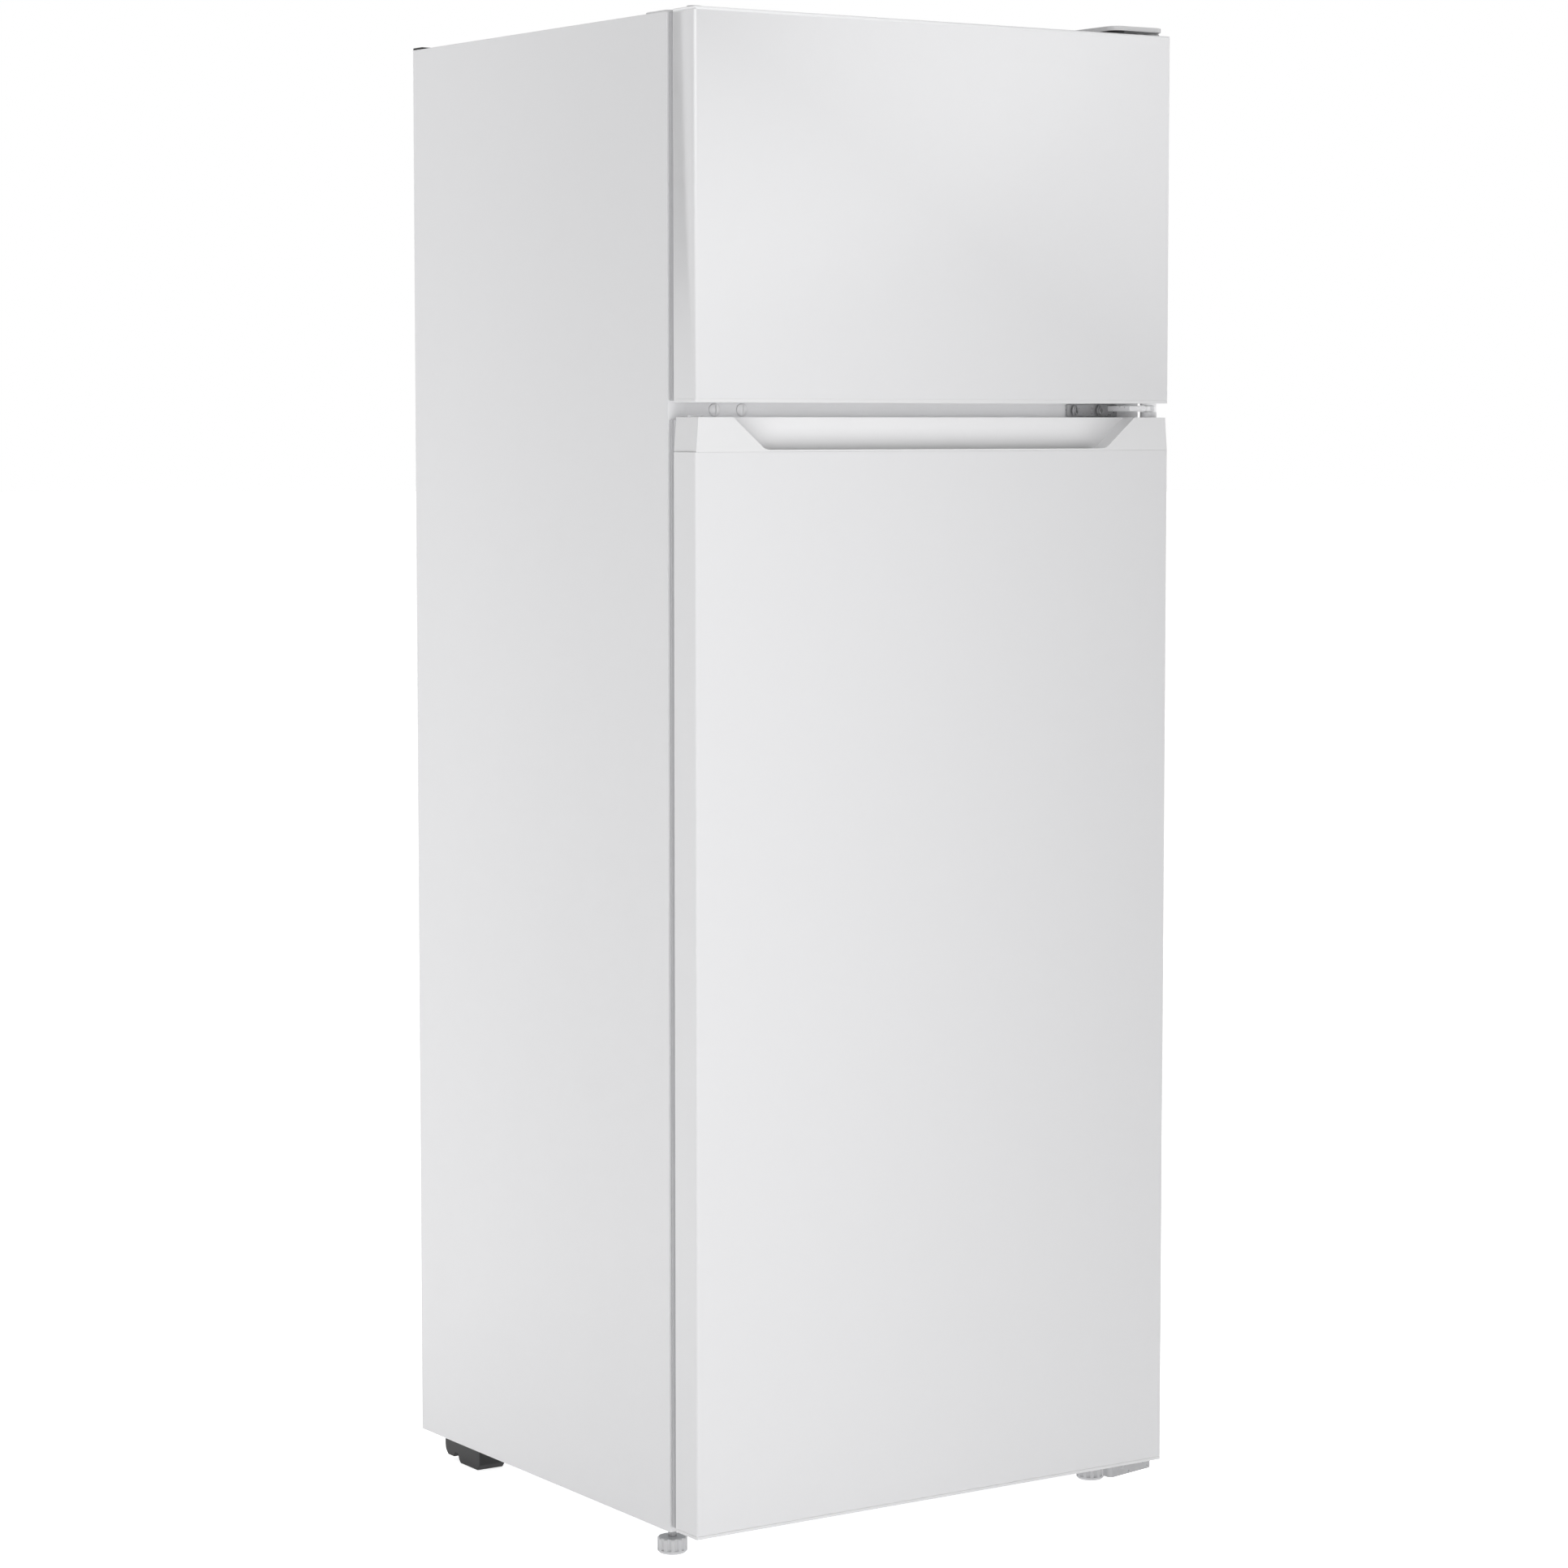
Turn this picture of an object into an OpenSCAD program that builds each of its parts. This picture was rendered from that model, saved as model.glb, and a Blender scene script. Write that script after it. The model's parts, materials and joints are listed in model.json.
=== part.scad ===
/* [Cabinet] */
// Width of the cabinet and of both doors
body_w = 545; // [450:1:700]
// Depth of the cabinet without doors
body_d = 480; // [400:1:620]
// Height of the cabinet from its base plate to its top
body_h = 1401; // [1150:1:1750]
// Height of the base plate above the floor
floor_gap = 30; // [26:1:40]
// Room behind the back panel for the condenser and its spacers
rear_gap = 28; // [24:1:50]
// Side wall of the fridge compartment, foam included
fridge_wall = 38; // [30:1:50]
// Side wall of the freezer compartment, foam included
freezer_wall = 48; // [38:1:60]
// Roof above the freezer, foam included
roof_wall = 50; // [40:1:70]
// Floor below the fridge compartment, foam included
floor_wall = 45; // [35:1:60]
// Height of the rail between the two compartments
rail_h = 52; // [44:1:70]
// Depth of the compressor niche
niche_d = 170; // [160:1:200]
// Height of the compressor niche
niche_h = 200; // [192:1:240]

/* [Doors] */
// Thickness of a door without its gasket
door_t = 38; // [32:1:50]
// Gap between door and cabinet, filled by the gasket
gasket_gap = 9; // [7:0.5:12]
// Height of the freezer door
freezer_door_h = 354; // [300:1:500]
// Gap between the two doors
door_gap = 13.5; // [13:0.5:16]
// Height of the handle trim on top of the fridge door
trim_h = 31.5; // [28:0.5:40]
// Depth of the hand recess in the trim
recess_d = 18; // [14:0.5:22]
// Distance from a door's side to its hinge axis
hinge_inset = 10.5; // [10:0.5:14]
// Distance from a door's front to its hinge axis
hinge_setback = 17.5; // [14:0.5:19]
// Radius of the hinge pins
pin_r = 4; // [3.5:0.1:5]
// Radial running clearance of the hinge pins and the knob shaft
pin_play = 0.05; // [0.02:0.01:0.1]
// Height of the raised dyke on a door's inner liner
dyke_h = 40; // [30:1:50]
// Depth of a door rack
rack_d = 94; // [80:1:110]

/* [Inside] */
// Height of the crisper drawer
crisper_h = 176; // [140:1:184]
// Radius of the thermostat knob
knob_r = 17; // [14:0.5:18]
// Spacing of the wires of the freezer shelf
shelf_wire_pitch = 26; // [20:1:40]

/* [Back] */
// Pitch of the condenser tube's runs
condenser_pitch = 52; // [40:1:70]
// Radius of the condenser tube
condenser_r = 2.4; // [2:0.1:3]
// Pitch of the condenser's wires
condenser_wire_pitch = 13; // [10:1:24]
// Radius of the compressor's shell
compressor_r = 68; // [60:1:70]

/* [Feet] */
// Radius of a front levelling foot
foot_r = 14; // [12:0.5:16]
// Height of a front levelling foot
foot_h = 15; // [12:0.5:18]
// Flutes round a front levelling foot
foot_flutes = 12; // [8:1:16]

/* [Sheets] */
// Thickness of the steel sheets
sheet = 0.8; // [0.6:0.1:1.2]
// Thickness of the plastic liners
liner_t = 1.6; // [1.2:0.1:2.5]

/* [Hidden] */
$fn = 64;

// Colours
white_paint = [0.93, 0.93, 0.93];
white_plastic = [0.95, 0.95, 0.95];
grey_plastic = [0.72, 0.72, 0.73];
zinc = [0.66, 0.67, 0.69];
black_plastic = [0.08, 0.08, 0.09];
copper = [0.72, 0.42, 0.27];
foam_yellow = [0.93, 0.86, 0.62];
clear_plastic = [0.85, 0.92, 0.95, 0.5];

// Main planes: the origin is on the floor, below the middle of the whole depth
half_w = body_w/2;
total_d = door_t + gasket_gap + body_d + rear_gap;
front_y = -total_d/2;
door_back_y = front_y + door_t;
body_y0 = door_back_y + gasket_gap;
body_y1 = body_y0 + body_d;
wall_y = body_y1 + rear_gap;
body_z0 = floor_gap;
body_z1 = body_z0 + body_h;

// Heights of the doors
door_over = 1;
door_z1 = body_z1 + door_over;
freezer_z0 = door_z1 - freezer_door_h;
trim_z1 = freezer_z0 - door_gap;
trim_z0 = trim_z1 - trim_h;
door_z0 = body_z0 + 3;
cap_t = 3;
cap_rim = 10;
edge_r = 2;

// Hinge axis
hinge_x = half_w - hinge_inset;
hinge_y = front_y + hinge_setback;
pin_engage = 13;
collar_r = 8;
boss_r = 8.5;
hinge_air = 0.3;
gap_z = (freezer_z0 + trim_z1)/2;
arm_z0 = gap_z - 0.9;
arm_z1 = gap_z + 4.6;
top_plate_z = door_z1 + 2.8;
top_plate_t = 2.5;
cover_h = 9;
low_plate_t = 3;

// Cabinet sheets
flange_w = 18;
rear_flange_w = 12;
top_flange = 20;
niche_y = body_y1 - niche_d;
niche_z = body_z0 + niche_h;
rail_t = 1.2;
rail_z0 = gap_z - rail_h/2;
rail_z1 = gap_z + rail_h/2;
rail_return = 15;
plug_x = half_w - 50.5;
plug_pitch = 30;
plug_r = 6;
shank_r = 2.4;
shank_play = 0.1;

// Compartments
freezer_half = half_w - freezer_wall;
fridge_half = half_w - fridge_wall;
freezer_back = body_y1 - 60;
fridge_back = body_y1 - fridge_wall - 7;
freezer_top = body_z1 - roof_wall;
fridge_floor = body_z0 + floor_wall;
hump_wall = 40;
hump_y = niche_y - hump_wall;
hump_z = niche_z + hump_wall;
liner_r = 14;
dyke_wall = 24;
dyke_air = 12.5;
rack_wall = 2.2;
shelf_y0 = door_back_y + rack_d + 10;
shelf_t = 4;
rib_d = 6;
rib_h = 6;
rib_drop = 10;
fridge_shelf_z = [hump_z + 0.24*(rail_z0 - hump_z), hump_z + 0.56*(rail_z0 - hump_z)];
freezer_shelf_z = rail_z1 + 0.5*(freezer_top - rail_z1);
control_h = 42;
control_w = 110;
control_y0 = shelf_y0 - 2;
control_d = 150;
control_wall = 2;
knob_x = -control_w/2;
knob_z = rail_z0 - control_h/2;
crisper_air = 5;
crisper_lift = 0.4;
crisper_wall = 2.5;
crisper_cover_z = hump_z;

// Refrigeration set
rail_plate_t = 2;
grommet_h = 10;
compressor_x = 40;
compressor_y = body_y1 - niche_d/2;
compressor_z = body_z0 + rail_plate_t + grommet_h;
base_t = 3;
shell_h = 133;
ear_x = 78;
ear_y = 48;
ear_r = 11;
condenser_x = half_w - 62;
condenser_y = body_y1 + 13;
condenser_z0 = niche_z + 48;
condenser_runs = floor((body_z1 - 60 - condenser_z0)/condenser_pitch);
condenser_z1 = condenser_z0 + condenser_runs*condenser_pitch;
wire_r = 0.75;
drain_x = compressor_x;
drain_y = compressor_y;

// Feet
foot_x = half_w - 24.5;
foot_y = body_y0 + 35;
stud_r = 4;
nut_h = 12;
rear_foot_x = half_w - 35;
rear_foot_w = 30;

// Hinge plates
mid_plate_t = 3;
arm_w = 20;
plate_half_h = 5.6;
screw_margin = 9;

// Works in the niche
relay_x = compressor_x - compressor_r - 36;
gland_r = 7;
line_r = 3.2;
suction_x = compressor_x + 95;
suction_y = compressor_y + 20;
suction_top = niche_z + 30;
drier_x = -half_w + 70;
drier_y = body_y1 - 34;
drier_z = body_z0 + 60;
drier_len = 112;
drain_r = 6;

// Door liners, racks and grips
rack_lift = 15;
freezer_dyke = freezer_half - dyke_air;
freezer_d0 = rail_z1 + dyke_air;
freezer_d1 = freezer_top - dyke_air;
freezer_racks = [freezer_d0 + dyke_wall + rack_lift, (freezer_d0 + freezer_d1)/2 + rack_lift];
freezer_rack_h = 58;
fridge_dyke = fridge_half - dyke_air;
fridge_d0 = fridge_floor + dyke_air;
fridge_d1 = rail_z0 - dyke_air;
fridge_racks = [fridge_d0 + 0.42*(fridge_d1 - fridge_d0), fridge_d0 + 0.72*(fridge_d1 - fridge_d0)];
fridge_rack_h = 66;
bottle_rack_z = fridge_d0 + dyke_wall + rack_lift;
bottle_rack_h = 104;
plug_part_h = 18;
recess_floor_z = trim_z0 + 1.8;
groove_d = 9;
groove_w = 17;
groove_y = 15;
groove_wall = 1.5;
groove_half = half_w - 82;

// A box between two opposite corners
module span(a, b) { translate(a) cube(b - a); }

// A rounded rectangle with true round corners
module round_rect(w, d, r) {
  square([w - 2*r, d], center = true);
  square([w, d - 2*r], center = true);
  for (x = [-1, 1], y = [-1, 1]) translate([x*(w/2 - r), y*(d/2 - r)]) circle(r);
}

// A bar along Z with a rounded plan, between two corners
module post(a, b, r) {
  translate([(a[0] + b[0])/2, (a[1] + b[1])/2, a[2]])
    linear_extrude(b[2] - a[2]) round_rect(b[0] - a[0], b[1] - a[1], r);
}

// A bar along Y with a rounded front view, between two corners
module tunnel(a, b, r) {
  translate([(a[0] + b[0])/2, b[1], (a[2] + b[2])/2]) rotate([90, 0, 0])
    linear_extrude(b[1] - a[1]) round_rect(b[0] - a[0], b[2] - a[2], r);
}

// A left part and its mirror image
module both_sides() { children(); mirror([1, 0, 0]) children(); }

// A round bar between two points, with a round end at its start
module bar(a, b, r) {
  v = b - a;
  translate(a) rotate([0, acos(v[2]/norm(v)), atan2(v[1], v[0])]) cylinder(r = r, h = norm(v), $fn = 24);
}

// A bent tube through a list of points
module bent_tube(points, r) {
  for (i = [0:len(points) - 2]) bar(points[i], points[i + 1], r);
  for (i = [1:len(points) - 2]) translate(points[i]) sphere(r + 0.1, $fn = 24);
}

// ---- cabinet sheets ----

module side_sheet() {
  span([-half_w, body_y0, body_z0], [-half_w + sheet, body_y1, body_z1]);
  span([-half_w, body_y0, body_z0], [-half_w + flange_w, body_y0 + sheet, body_z1]);
  span([-half_w, body_y1 - sheet, niche_z], [-half_w + rear_flange_w, body_y1, body_z1]);
}

module side_panel_left() { color(white_paint) side_sheet(); }

module side_panel_right() { color(white_paint) mirror([1, 0, 0]) side_sheet(); }

module top_panel() {
  color(white_paint) difference() {
    union() {
      span([-half_w + sheet, body_y0 + sheet, body_z1 - sheet], [half_w - sheet, body_y1 - sheet, body_z1]);
      span([-half_w + flange_w, body_y0, body_z1 - top_flange],
           [half_w - flange_w, body_y0 + sheet, body_z1]);
    }
    for (p = top_screw_places()) translate([p[0], p[1], body_z1 - 5])
      cylinder(r = shank_r + shank_play, h = 10);
  }
}

module back_panel() {
  color(white_paint)
    span([-half_w + sheet, body_y1 - 2*sheet, niche_z + sheet],
         [half_w - sheet, body_y1 - sheet, body_z1 - sheet]);
}

module foot_places() { for (s = [-1, 1]) translate([s*foot_x, foot_y, 0]) children(); }

module base_pan() {
  color(zinc) difference() {
    union() {
      span([-half_w + sheet, body_y0 + sheet, body_z0], [half_w - sheet, niche_y, body_z0 + sheet]);
      span([-half_w + flange_w, body_y0, body_z0],
           [half_w - flange_w, body_y0 + sheet, body_z0 + top_flange]);
      foot_places() translate([0, 0, body_z0]) cylinder(r = stud_r + 4, h = nut_h);
    }
    foot_places() translate([0, 0, body_z0 - 1]) cylinder(r = stud_r + hinge_air, h = nut_h + 2);
    for (p = low_screw_places()) translate([p[0], p[1], body_z0 - 5])
      cylinder(r = shank_r + shank_play, h = 10);
  }
}

module compressor_deck() {
  color(zinc) difference() {
    union() {
      span([-half_w + sheet, niche_y, body_z0], [half_w - sheet, niche_y + sheet, niche_z + sheet]);
      span([-half_w + sheet, niche_y, niche_z], [half_w - sheet, body_y1 - sheet, niche_z + sheet]);
    }
    drain_bar(drain_r + shank_play);
    suction_bar(line_r + shank_play);
  }
}

// ---- insulation and liners ----

module freezer_space(grow) {
  tunnel([-freezer_half - grow, body_y0 - 1, rail_z1 - grow],
         [freezer_half + grow, freezer_back + grow, freezer_top + grow],
         liner_r + grow);
}

module fridge_space(grow) {
  difference() {
    tunnel([-fridge_half - grow, body_y0 - 1, fridge_floor - grow],
           [fridge_half + grow, fridge_back + grow, rail_z0 + grow], liner_r + grow);
    span([-half_w, hump_y + grow, 0], [half_w, body_y1, hump_z - grow]);
  }
}

module rail_shape() {
  span([-half_w + flange_w, body_y0, rail_z0], [half_w - flange_w, body_y0 + rail_t, rail_z1]);
  span([-half_w + flange_w, body_y0, rail_z0 + liner_t],
       [half_w - flange_w, body_y0 + rail_return, rail_z0 + liner_t + rail_t]);
  span([-half_w + flange_w, body_y0, rail_z1 - liner_t - rail_t],
       [half_w - flange_w, body_y0 + rail_return, rail_z1 - liner_t]);
}

module rail_screw_holes(r, depth) {
  both_sides() for (x = [plug_x, plug_x - plug_pitch])
    translate([x, body_y0 + depth, gap_z]) rotate([90, 0, 0]) cylinder(r = r, h = depth + 1);
}

module cabinet_foam(z0, z1) {
  color(foam_yellow) difference() {
    span([-half_w + sheet, body_y0 + liner_t, z0], [half_w - sheet, body_y1 - 2*sheet, z1]);
    span([-half_w, niche_y, 0], [half_w, body_y1 + 1, niche_z + sheet]);
    freezer_space(liner_t);
    fridge_space(liner_t);
    rail_shape();
    rail_screw_holes(plug_r, 13);
    foot_places() translate([0, 0, body_z0 - 1]) cylinder(r = stud_r + 4, h = nut_h + 12);
    for (p = top_screw_places()) translate([p[0], p[1], body_z1 - 14]) cylinder(r = 4, h = 15);
    for (p = low_screw_places()) translate([p[0], p[1], body_z0 - 1]) cylinder(r = 4, h = 15);
    evaporator_room();
    drain_bar(drain_r);
    suction_bar(line_r);
  }
}

module freezer_foam() { cabinet_foam(gap_z, body_z1 - sheet); }

module fridge_foam() { cabinet_foam(body_z0 + sheet, gap_z); }

module shelf_ribs(half, z, y1) {
  both_sides() span([-half, shelf_y0, z - rib_h], [-half + rib_d, y1, z]);
}

module freezer_liner() {
  color(white_plastic) difference() {
    union() {
      difference() {
        union() {
          freezer_space(liner_t);
          span([-half_w + flange_w, body_y0, rail_z1],
               [half_w - flange_w, body_y0 + liner_t, body_z1 - top_flange]);
        }
        freezer_space(0);
      }
      shelf_ribs(freezer_half, freezer_shelf_z, freezer_back);
    }
    span([-half_w, body_y0 - 2, body_z0], [half_w, body_y0, body_z1]);
    rail_shape();
  }
}

module fridge_liner() {
  color(white_plastic) difference() {
    union() {
      difference() {
        union() {
          fridge_space(liner_t);
          span([-half_w + flange_w, body_y0, body_z0 + top_flange],
               [half_w - flange_w, body_y0 + liner_t, rail_z0]);
        }
        fridge_space(0);
      }
      for (z = fridge_shelf_z) shelf_ribs(fridge_half, z, fridge_back);
      shelf_ribs(fridge_half, crisper_cover_z, hump_y);
    }
    span([-half_w, body_y0 - 2, body_z0], [half_w, body_y0, body_z1]);
    rail_shape();
    drain_bar(drain_r);
  }
}

module mid_rail() {
  color(white_paint) difference() {
    rail_shape();
    rail_screw_holes(shank_r + shank_play, 8);
  }
}

// ---- plugs, hinges and screws ----

// A domed plug with a coin slot, facing -Y
module rail_plug() {
  dome_h = 1.8;
  base_h = 0.8;
  big_r = (plug_r*plug_r + dome_h*dome_h)/(2*dome_h);
  rotate([90, 0, 0]) {
    translate([0, 0, -8]) cylinder(r = shank_r, h = 8 + base_h/2);
    difference() {
      union() {
        cylinder(r = plug_r, h = base_h);
        intersection() {
          translate([0, 0, base_h + dome_h - big_r]) sphere(big_r);
          translate([0, 0, base_h/2]) cylinder(r = plug_r, h = 5);
        }
      }
      translate([-0.6, -plug_r - 1, base_h + 0.6]) cube([1.2, 2*plug_r + 2, 4]);
    }
  }
}

module rail_plugs() {
  color(white_plastic) for (x = [-plug_x, -plug_x + plug_pitch]) translate([x, body_y0, gap_z]) rail_plug();
}

module mid_hinge() {
  plate_y = body_y0 - mid_plate_t;
  color(zinc) {
    difference() {
      span([plug_x - plug_pitch - screw_margin, plate_y, gap_z - plate_half_h],
           [plug_x + 22, body_y0, gap_z + plate_half_h]);
      rail_screw_holes(shank_r + shank_play, 2);
      translate([0, -mid_plate_t - 1, 0]) rail_screw_holes(shank_r + shank_play, 5);
    }
    translate([0, 0, arm_z0]) linear_extrude(arm_z1 - arm_z0) {
      translate([hinge_x, hinge_y]) circle(collar_r - 0.5);
      polygon([
        [plug_x + 10, plate_y + 1], [plug_x + 22, plate_y + 1],
        [hinge_x + 6, hinge_y + 4.5], [hinge_x, hinge_y - collar_r + 0.5],
        [hinge_x - arm_w, hinge_y + 4]
      ]);
    }
    translate([hinge_x, hinge_y, arm_z0 - pin_engage - 2])
      cylinder(r = pin_r, h = arm_z1 - arm_z0 + 2*pin_engage + 4);
  }
}

function top_screw_places() = [for (d = [20, 50]) [hinge_x - 26, body_y0 + d]];
function low_screw_places() = [for (d = [14, 50]) [hinge_x - 38, body_y0 + d]];

module top_hinge() {
  x0 = hinge_x - 42;
  y_step = body_y0 + 6;
  color(zinc) difference() {
    union() {
      translate([0, 0, top_plate_z]) linear_extrude(top_plate_t) {
        translate([hinge_x, hinge_y]) circle(collar_r - 1);
        polygon([
          [x0, y_step + 2], [hinge_x + 4, y_step + 2], [hinge_x + 6, hinge_y],
          [hinge_x, hinge_y - collar_r + 1], [x0 + 14, hinge_y + 6]
        ]);
      }
      span([x0, y_step, body_z1], [hinge_x + 4, y_step + 2.5, top_plate_z + top_plate_t]);
      span([x0, y_step, body_z1], [hinge_x + 4, body_y0 + 66, body_z1 + top_plate_t]);
      translate([hinge_x, hinge_y, door_z1 - pin_engage])
        cylinder(r = pin_r, h = top_plate_z + top_plate_t - door_z1 + pin_engage);
    }
    for (p = top_screw_places()) translate([p[0], p[1], body_z1 - 1])
      cylinder(r = shank_r + shank_play, h = 6);
  }
}

module bottom_hinge() {
  z0 = body_z0 - low_plate_t;
  x0 = hinge_x - 46;
  front = hinge_y - 8;
  color(zinc) difference() {
    union() {
      post([x0, front, z0], [hinge_x + 7, body_y0 + 62, body_z0], 5);
      post([x0, front, z0 - 7], [hinge_x + 7, front + 14, z0 + 1], 5);
      translate([hinge_x, hinge_y, z0 - 5]) cylinder(r = pin_r, h = door_z0 + pin_engage - z0 + 5);
    }
    post([x0 + 2.5, front + 2.5, z0 - 8], [hinge_x - 7, front + 15, z0], 3);
    span([hinge_x - 12, front + 2.5, z0 - 8], [hinge_x - pin_r - 3, front + 15, z0]);
    translate([foot_x, foot_y, z0 - 1]) cylinder(r = stud_r + hinge_air, h = low_plate_t + 2);
    for (p = low_screw_places()) translate([p[0], p[1], z0 - 1]) cylinder(r = shank_r + shank_play, h = 6);
  }
}

// A cross-slot screw with a flanged hexagon head, its head towards +Z from z = 0
module hinge_screw() {
  difference() {
    union() {
      translate([0, 0, -9]) cylinder(r = shank_r, h = 9.5);
      cylinder(r = 5.4, h = 0.8);
      cylinder(r = 4.3, h = 2.6, $fn = 6);
    }
    for (a = [0, 90]) rotate([0, 0, a]) translate([-2.6, -0.5, 1.2]) cube([5.2, 1, 3]);
  }
}

module hinge_screws() {
  color(zinc) {
    for (x = [plug_x, plug_x - plug_pitch])
      translate([x, body_y0 - mid_plate_t, gap_z]) rotate([90, 0, 0]) hinge_screw();
    for (p = top_screw_places()) translate([p[0], p[1], body_z1 + top_plate_t]) hinge_screw();
    for (p = low_screw_places()) translate([p[0], p[1], body_z0 - low_plate_t])
      rotate([180, 0, 0]) hinge_screw();
  }
}

module top_hinge_cover() {
  wall = 1.2;
  x0 = hinge_x - 54;
  x1 = hinge_x + 8.5;
  y0 = hinge_y - 12;
  y1 = body_y0 + 80;
  color(white_plastic) difference() {
    post([x0, y0, body_z1], [x1, y1, body_z1 + cover_h], 11);
    post([x0 + wall, y0 + wall, body_z1 - 1], [x1 - wall, y1 - wall, body_z1 + cover_h - wall], 11 - wall);
    span([x0 - 1, y0 - 1, body_z1 - 1], [x1 + 1, body_y0 - 1, body_z1 + 4.6]);
  }
}

module top_corner_cover() {
  color(white_plastic) post([-half_w + 1, body_y0 + 2, body_z1],
                            [-half_w + 42, body_y0 + 40, body_z1 + 1.6], 4);
}

module rear_top_trim() {
  color(black_plastic) {
    span([-half_w + 1, body_y1 - 16, body_z1], [half_w - 1, body_y1 + 1.5, body_z1 + 2.2]);
    span([-half_w + 1, body_y1, body_z1 - 10], [half_w - 1, body_y1 + 1.5, body_z1 + 1]);
  }
}

// ---- refrigeration set ----

module compressor_ears() {
  for (x = [-ear_x, ear_x], y = [-ear_y, ear_y])
    translate([compressor_x + x, compressor_y + y, 0]) children();
}

module compressor_rail() {
  color(zinc) difference() {
    union() {
      span([-half_w + sheet, body_y1 - 150, body_z0], [half_w - sheet, body_y1 - 14, body_z0 + rail_plate_t]);
      both_sides() span([-half_w + sheet, body_y1 - 150, body_z0],
                        [-half_w + sheet + rail_plate_t, body_y1 - 14, body_z0 + 24]);
    }
    compressor_ears() translate([0, 0, body_z0 - 1]) cylinder(r = 4, h = 4);
  }
}

module rear_feet() {
  color(black_plastic) both_sides()
    translate([-rear_foot_x - rear_foot_w/2, 0, 0]) rotate([90, 0, 90]) linear_extrude(rear_foot_w) {
      y = body_y1 - 84;
      polygon([
        [y, body_z0], [y, 6], [y + 5, 0], [y + 40, 0], [y + 43, 3], [y + 46, 9], [y + 50, 9],
        [y + 54, 4], [y + 66, 4], [y + 71, 9], [y + 72, 14], [y + 72, body_z0]
      ]);
    }
}

module compressor() {
  low = [for (a = [-90:18:0]) [compressor_r - 16 + 16*cos(a), 16 + 16*sin(a)]];
  seam = [[compressor_r, 58], [compressor_r + 3, 58], [compressor_r + 3, 65], [compressor_r - 1, 65]];
  dome_r = compressor_r - 1;
  dome = [for (a = [10:10:70]) [dome_r*cos(a), 65 + (shell_h - 65)*sin(a)/sin(70)]];
  color(black_plastic) difference() {
    translate([compressor_x, compressor_y, compressor_z]) {
      translate([0, 0, base_t]) rotate_extrude() polygon(concat([[0, 0]], low, seam, dome, [[0, shell_h]]));
      linear_extrude(base_t) {
        square([2*ear_x, 60], center = true);
        square([60, 2*ear_y], center = true);
        for (x = [-1, 1], y = [-1, 1]) translate([x*ear_x, y*ear_y]) circle(ear_r);
        for (s = [-1, 1]) rotate(s*atan2(ear_y, ear_x)) square([2*norm([ear_x, ear_y]), 24], center = true);
      }
    }
    compressor_ears() translate([0, 0, compressor_z - 1]) cylinder(r = 5, h = 6);
  }
}

module compressor_grommets() {
  color(black_plastic) compressor_ears() translate([0, 0, body_z0 + rail_plate_t]) {
    cylinder(r = 9, h = grommet_h);
    cylinder(r = 5, h = grommet_h + base_t);
    translate([0, 0, grommet_h + base_t]) cylinder(r = 8, h = 3);
  }
}

module relay_cover() {
  z0 = compressor_z + 18;
  color(black_plastic) difference() {
    translate([relay_x + 26, compressor_y, z0]) linear_extrude(58) round_rect(52, 54, 5);
    translate([compressor_x, compressor_y, 0]) cylinder(r = compressor_r + 3, h = 400);
    translate([relay_x - 1, compressor_y, z0 + 14]) rotate([0, 90, 0]) cylinder(r = gland_r, h = 12);
  }
}

module cord_gland() {
  color(black_plastic) translate([relay_x - 6, compressor_y, compressor_z + 32]) rotate([0, 90, 0])
    difference() {
    union() {
      cylinder(r = gland_r, h = 12);
      cylinder(r = gland_r + 2.5, h = 3);
    }
    translate([0, 0, -1]) cylinder(r = 3.5, h = 14);
  }
}

module drip_tray() {
  z0 = compressor_z + base_t + shell_h;
  color(black_plastic) difference() {
    post([compressor_x - 75, compressor_y - 56, z0], [compressor_x + 75, compressor_y + 56, z0 + 26], 16);
    post([compressor_x - 73, compressor_y - 54, z0 + 2], [compressor_x + 73, compressor_y + 54, z0 + 30], 14);
  }
}

module condenser_tube() {
  bend_r = condenser_pitch/2;
  run = condenser_x - bend_r;
  color(black_plastic) translate([0, condenser_y, 0]) {
    for (i = [0:condenser_runs]) translate([-run, 0, condenser_z0 + i*condenser_pitch])
      rotate([0, 90, 0]) cylinder(r = condenser_r, h = 2*run, $fn = 24);
    for (i = [0:condenser_runs - 1])
      translate([(i % 2 == 0 ? 1 : -1)*run, 0, condenser_z0 + (i + 0.5)*condenser_pitch])
      rotate([90, i % 2 == 0 ? 90 : -90, 0]) rotate([0, 0, 180]) rotate_extrude(angle = 180)
        translate([bend_r, 0]) circle(condenser_r, $fn = 24);
  }
}

module condenser_wires() {
  n = floor((condenser_x - condenser_pitch/2)/condenser_wire_pitch);
  color(black_plastic) for (i = [-n:n], side = [-1, 1])
    translate([i*condenser_wire_pitch + side*0.25*condenser_wire_pitch,
               condenser_y + side*(condenser_r + wire_r - 0.1), condenser_z0 - 14])
      cylinder(r = wire_r, h = condenser_z1 - condenser_z0 + 28, $fn = 16);
}

module condenser_brackets() {
  clip_x = condenser_x - condenser_pitch/2 + 8;
  rows = [1, condenser_runs - 1];
  color(white_plastic) both_sides() for (i = rows) difference() {
    tunnel([-clip_x - 12, body_y1 - sheet, condenser_z0 + i*condenser_pitch - 20],
           [-clip_x + 6, wall_y, condenser_z0 + i*condenser_pitch + 20], 4);
    translate([-clip_x - 20, condenser_y, condenser_z0 + i*condenser_pitch])
      rotate([0, 90, 0]) cylinder(r = condenser_r, h = 40, $fn = 24);
  }
}

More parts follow.
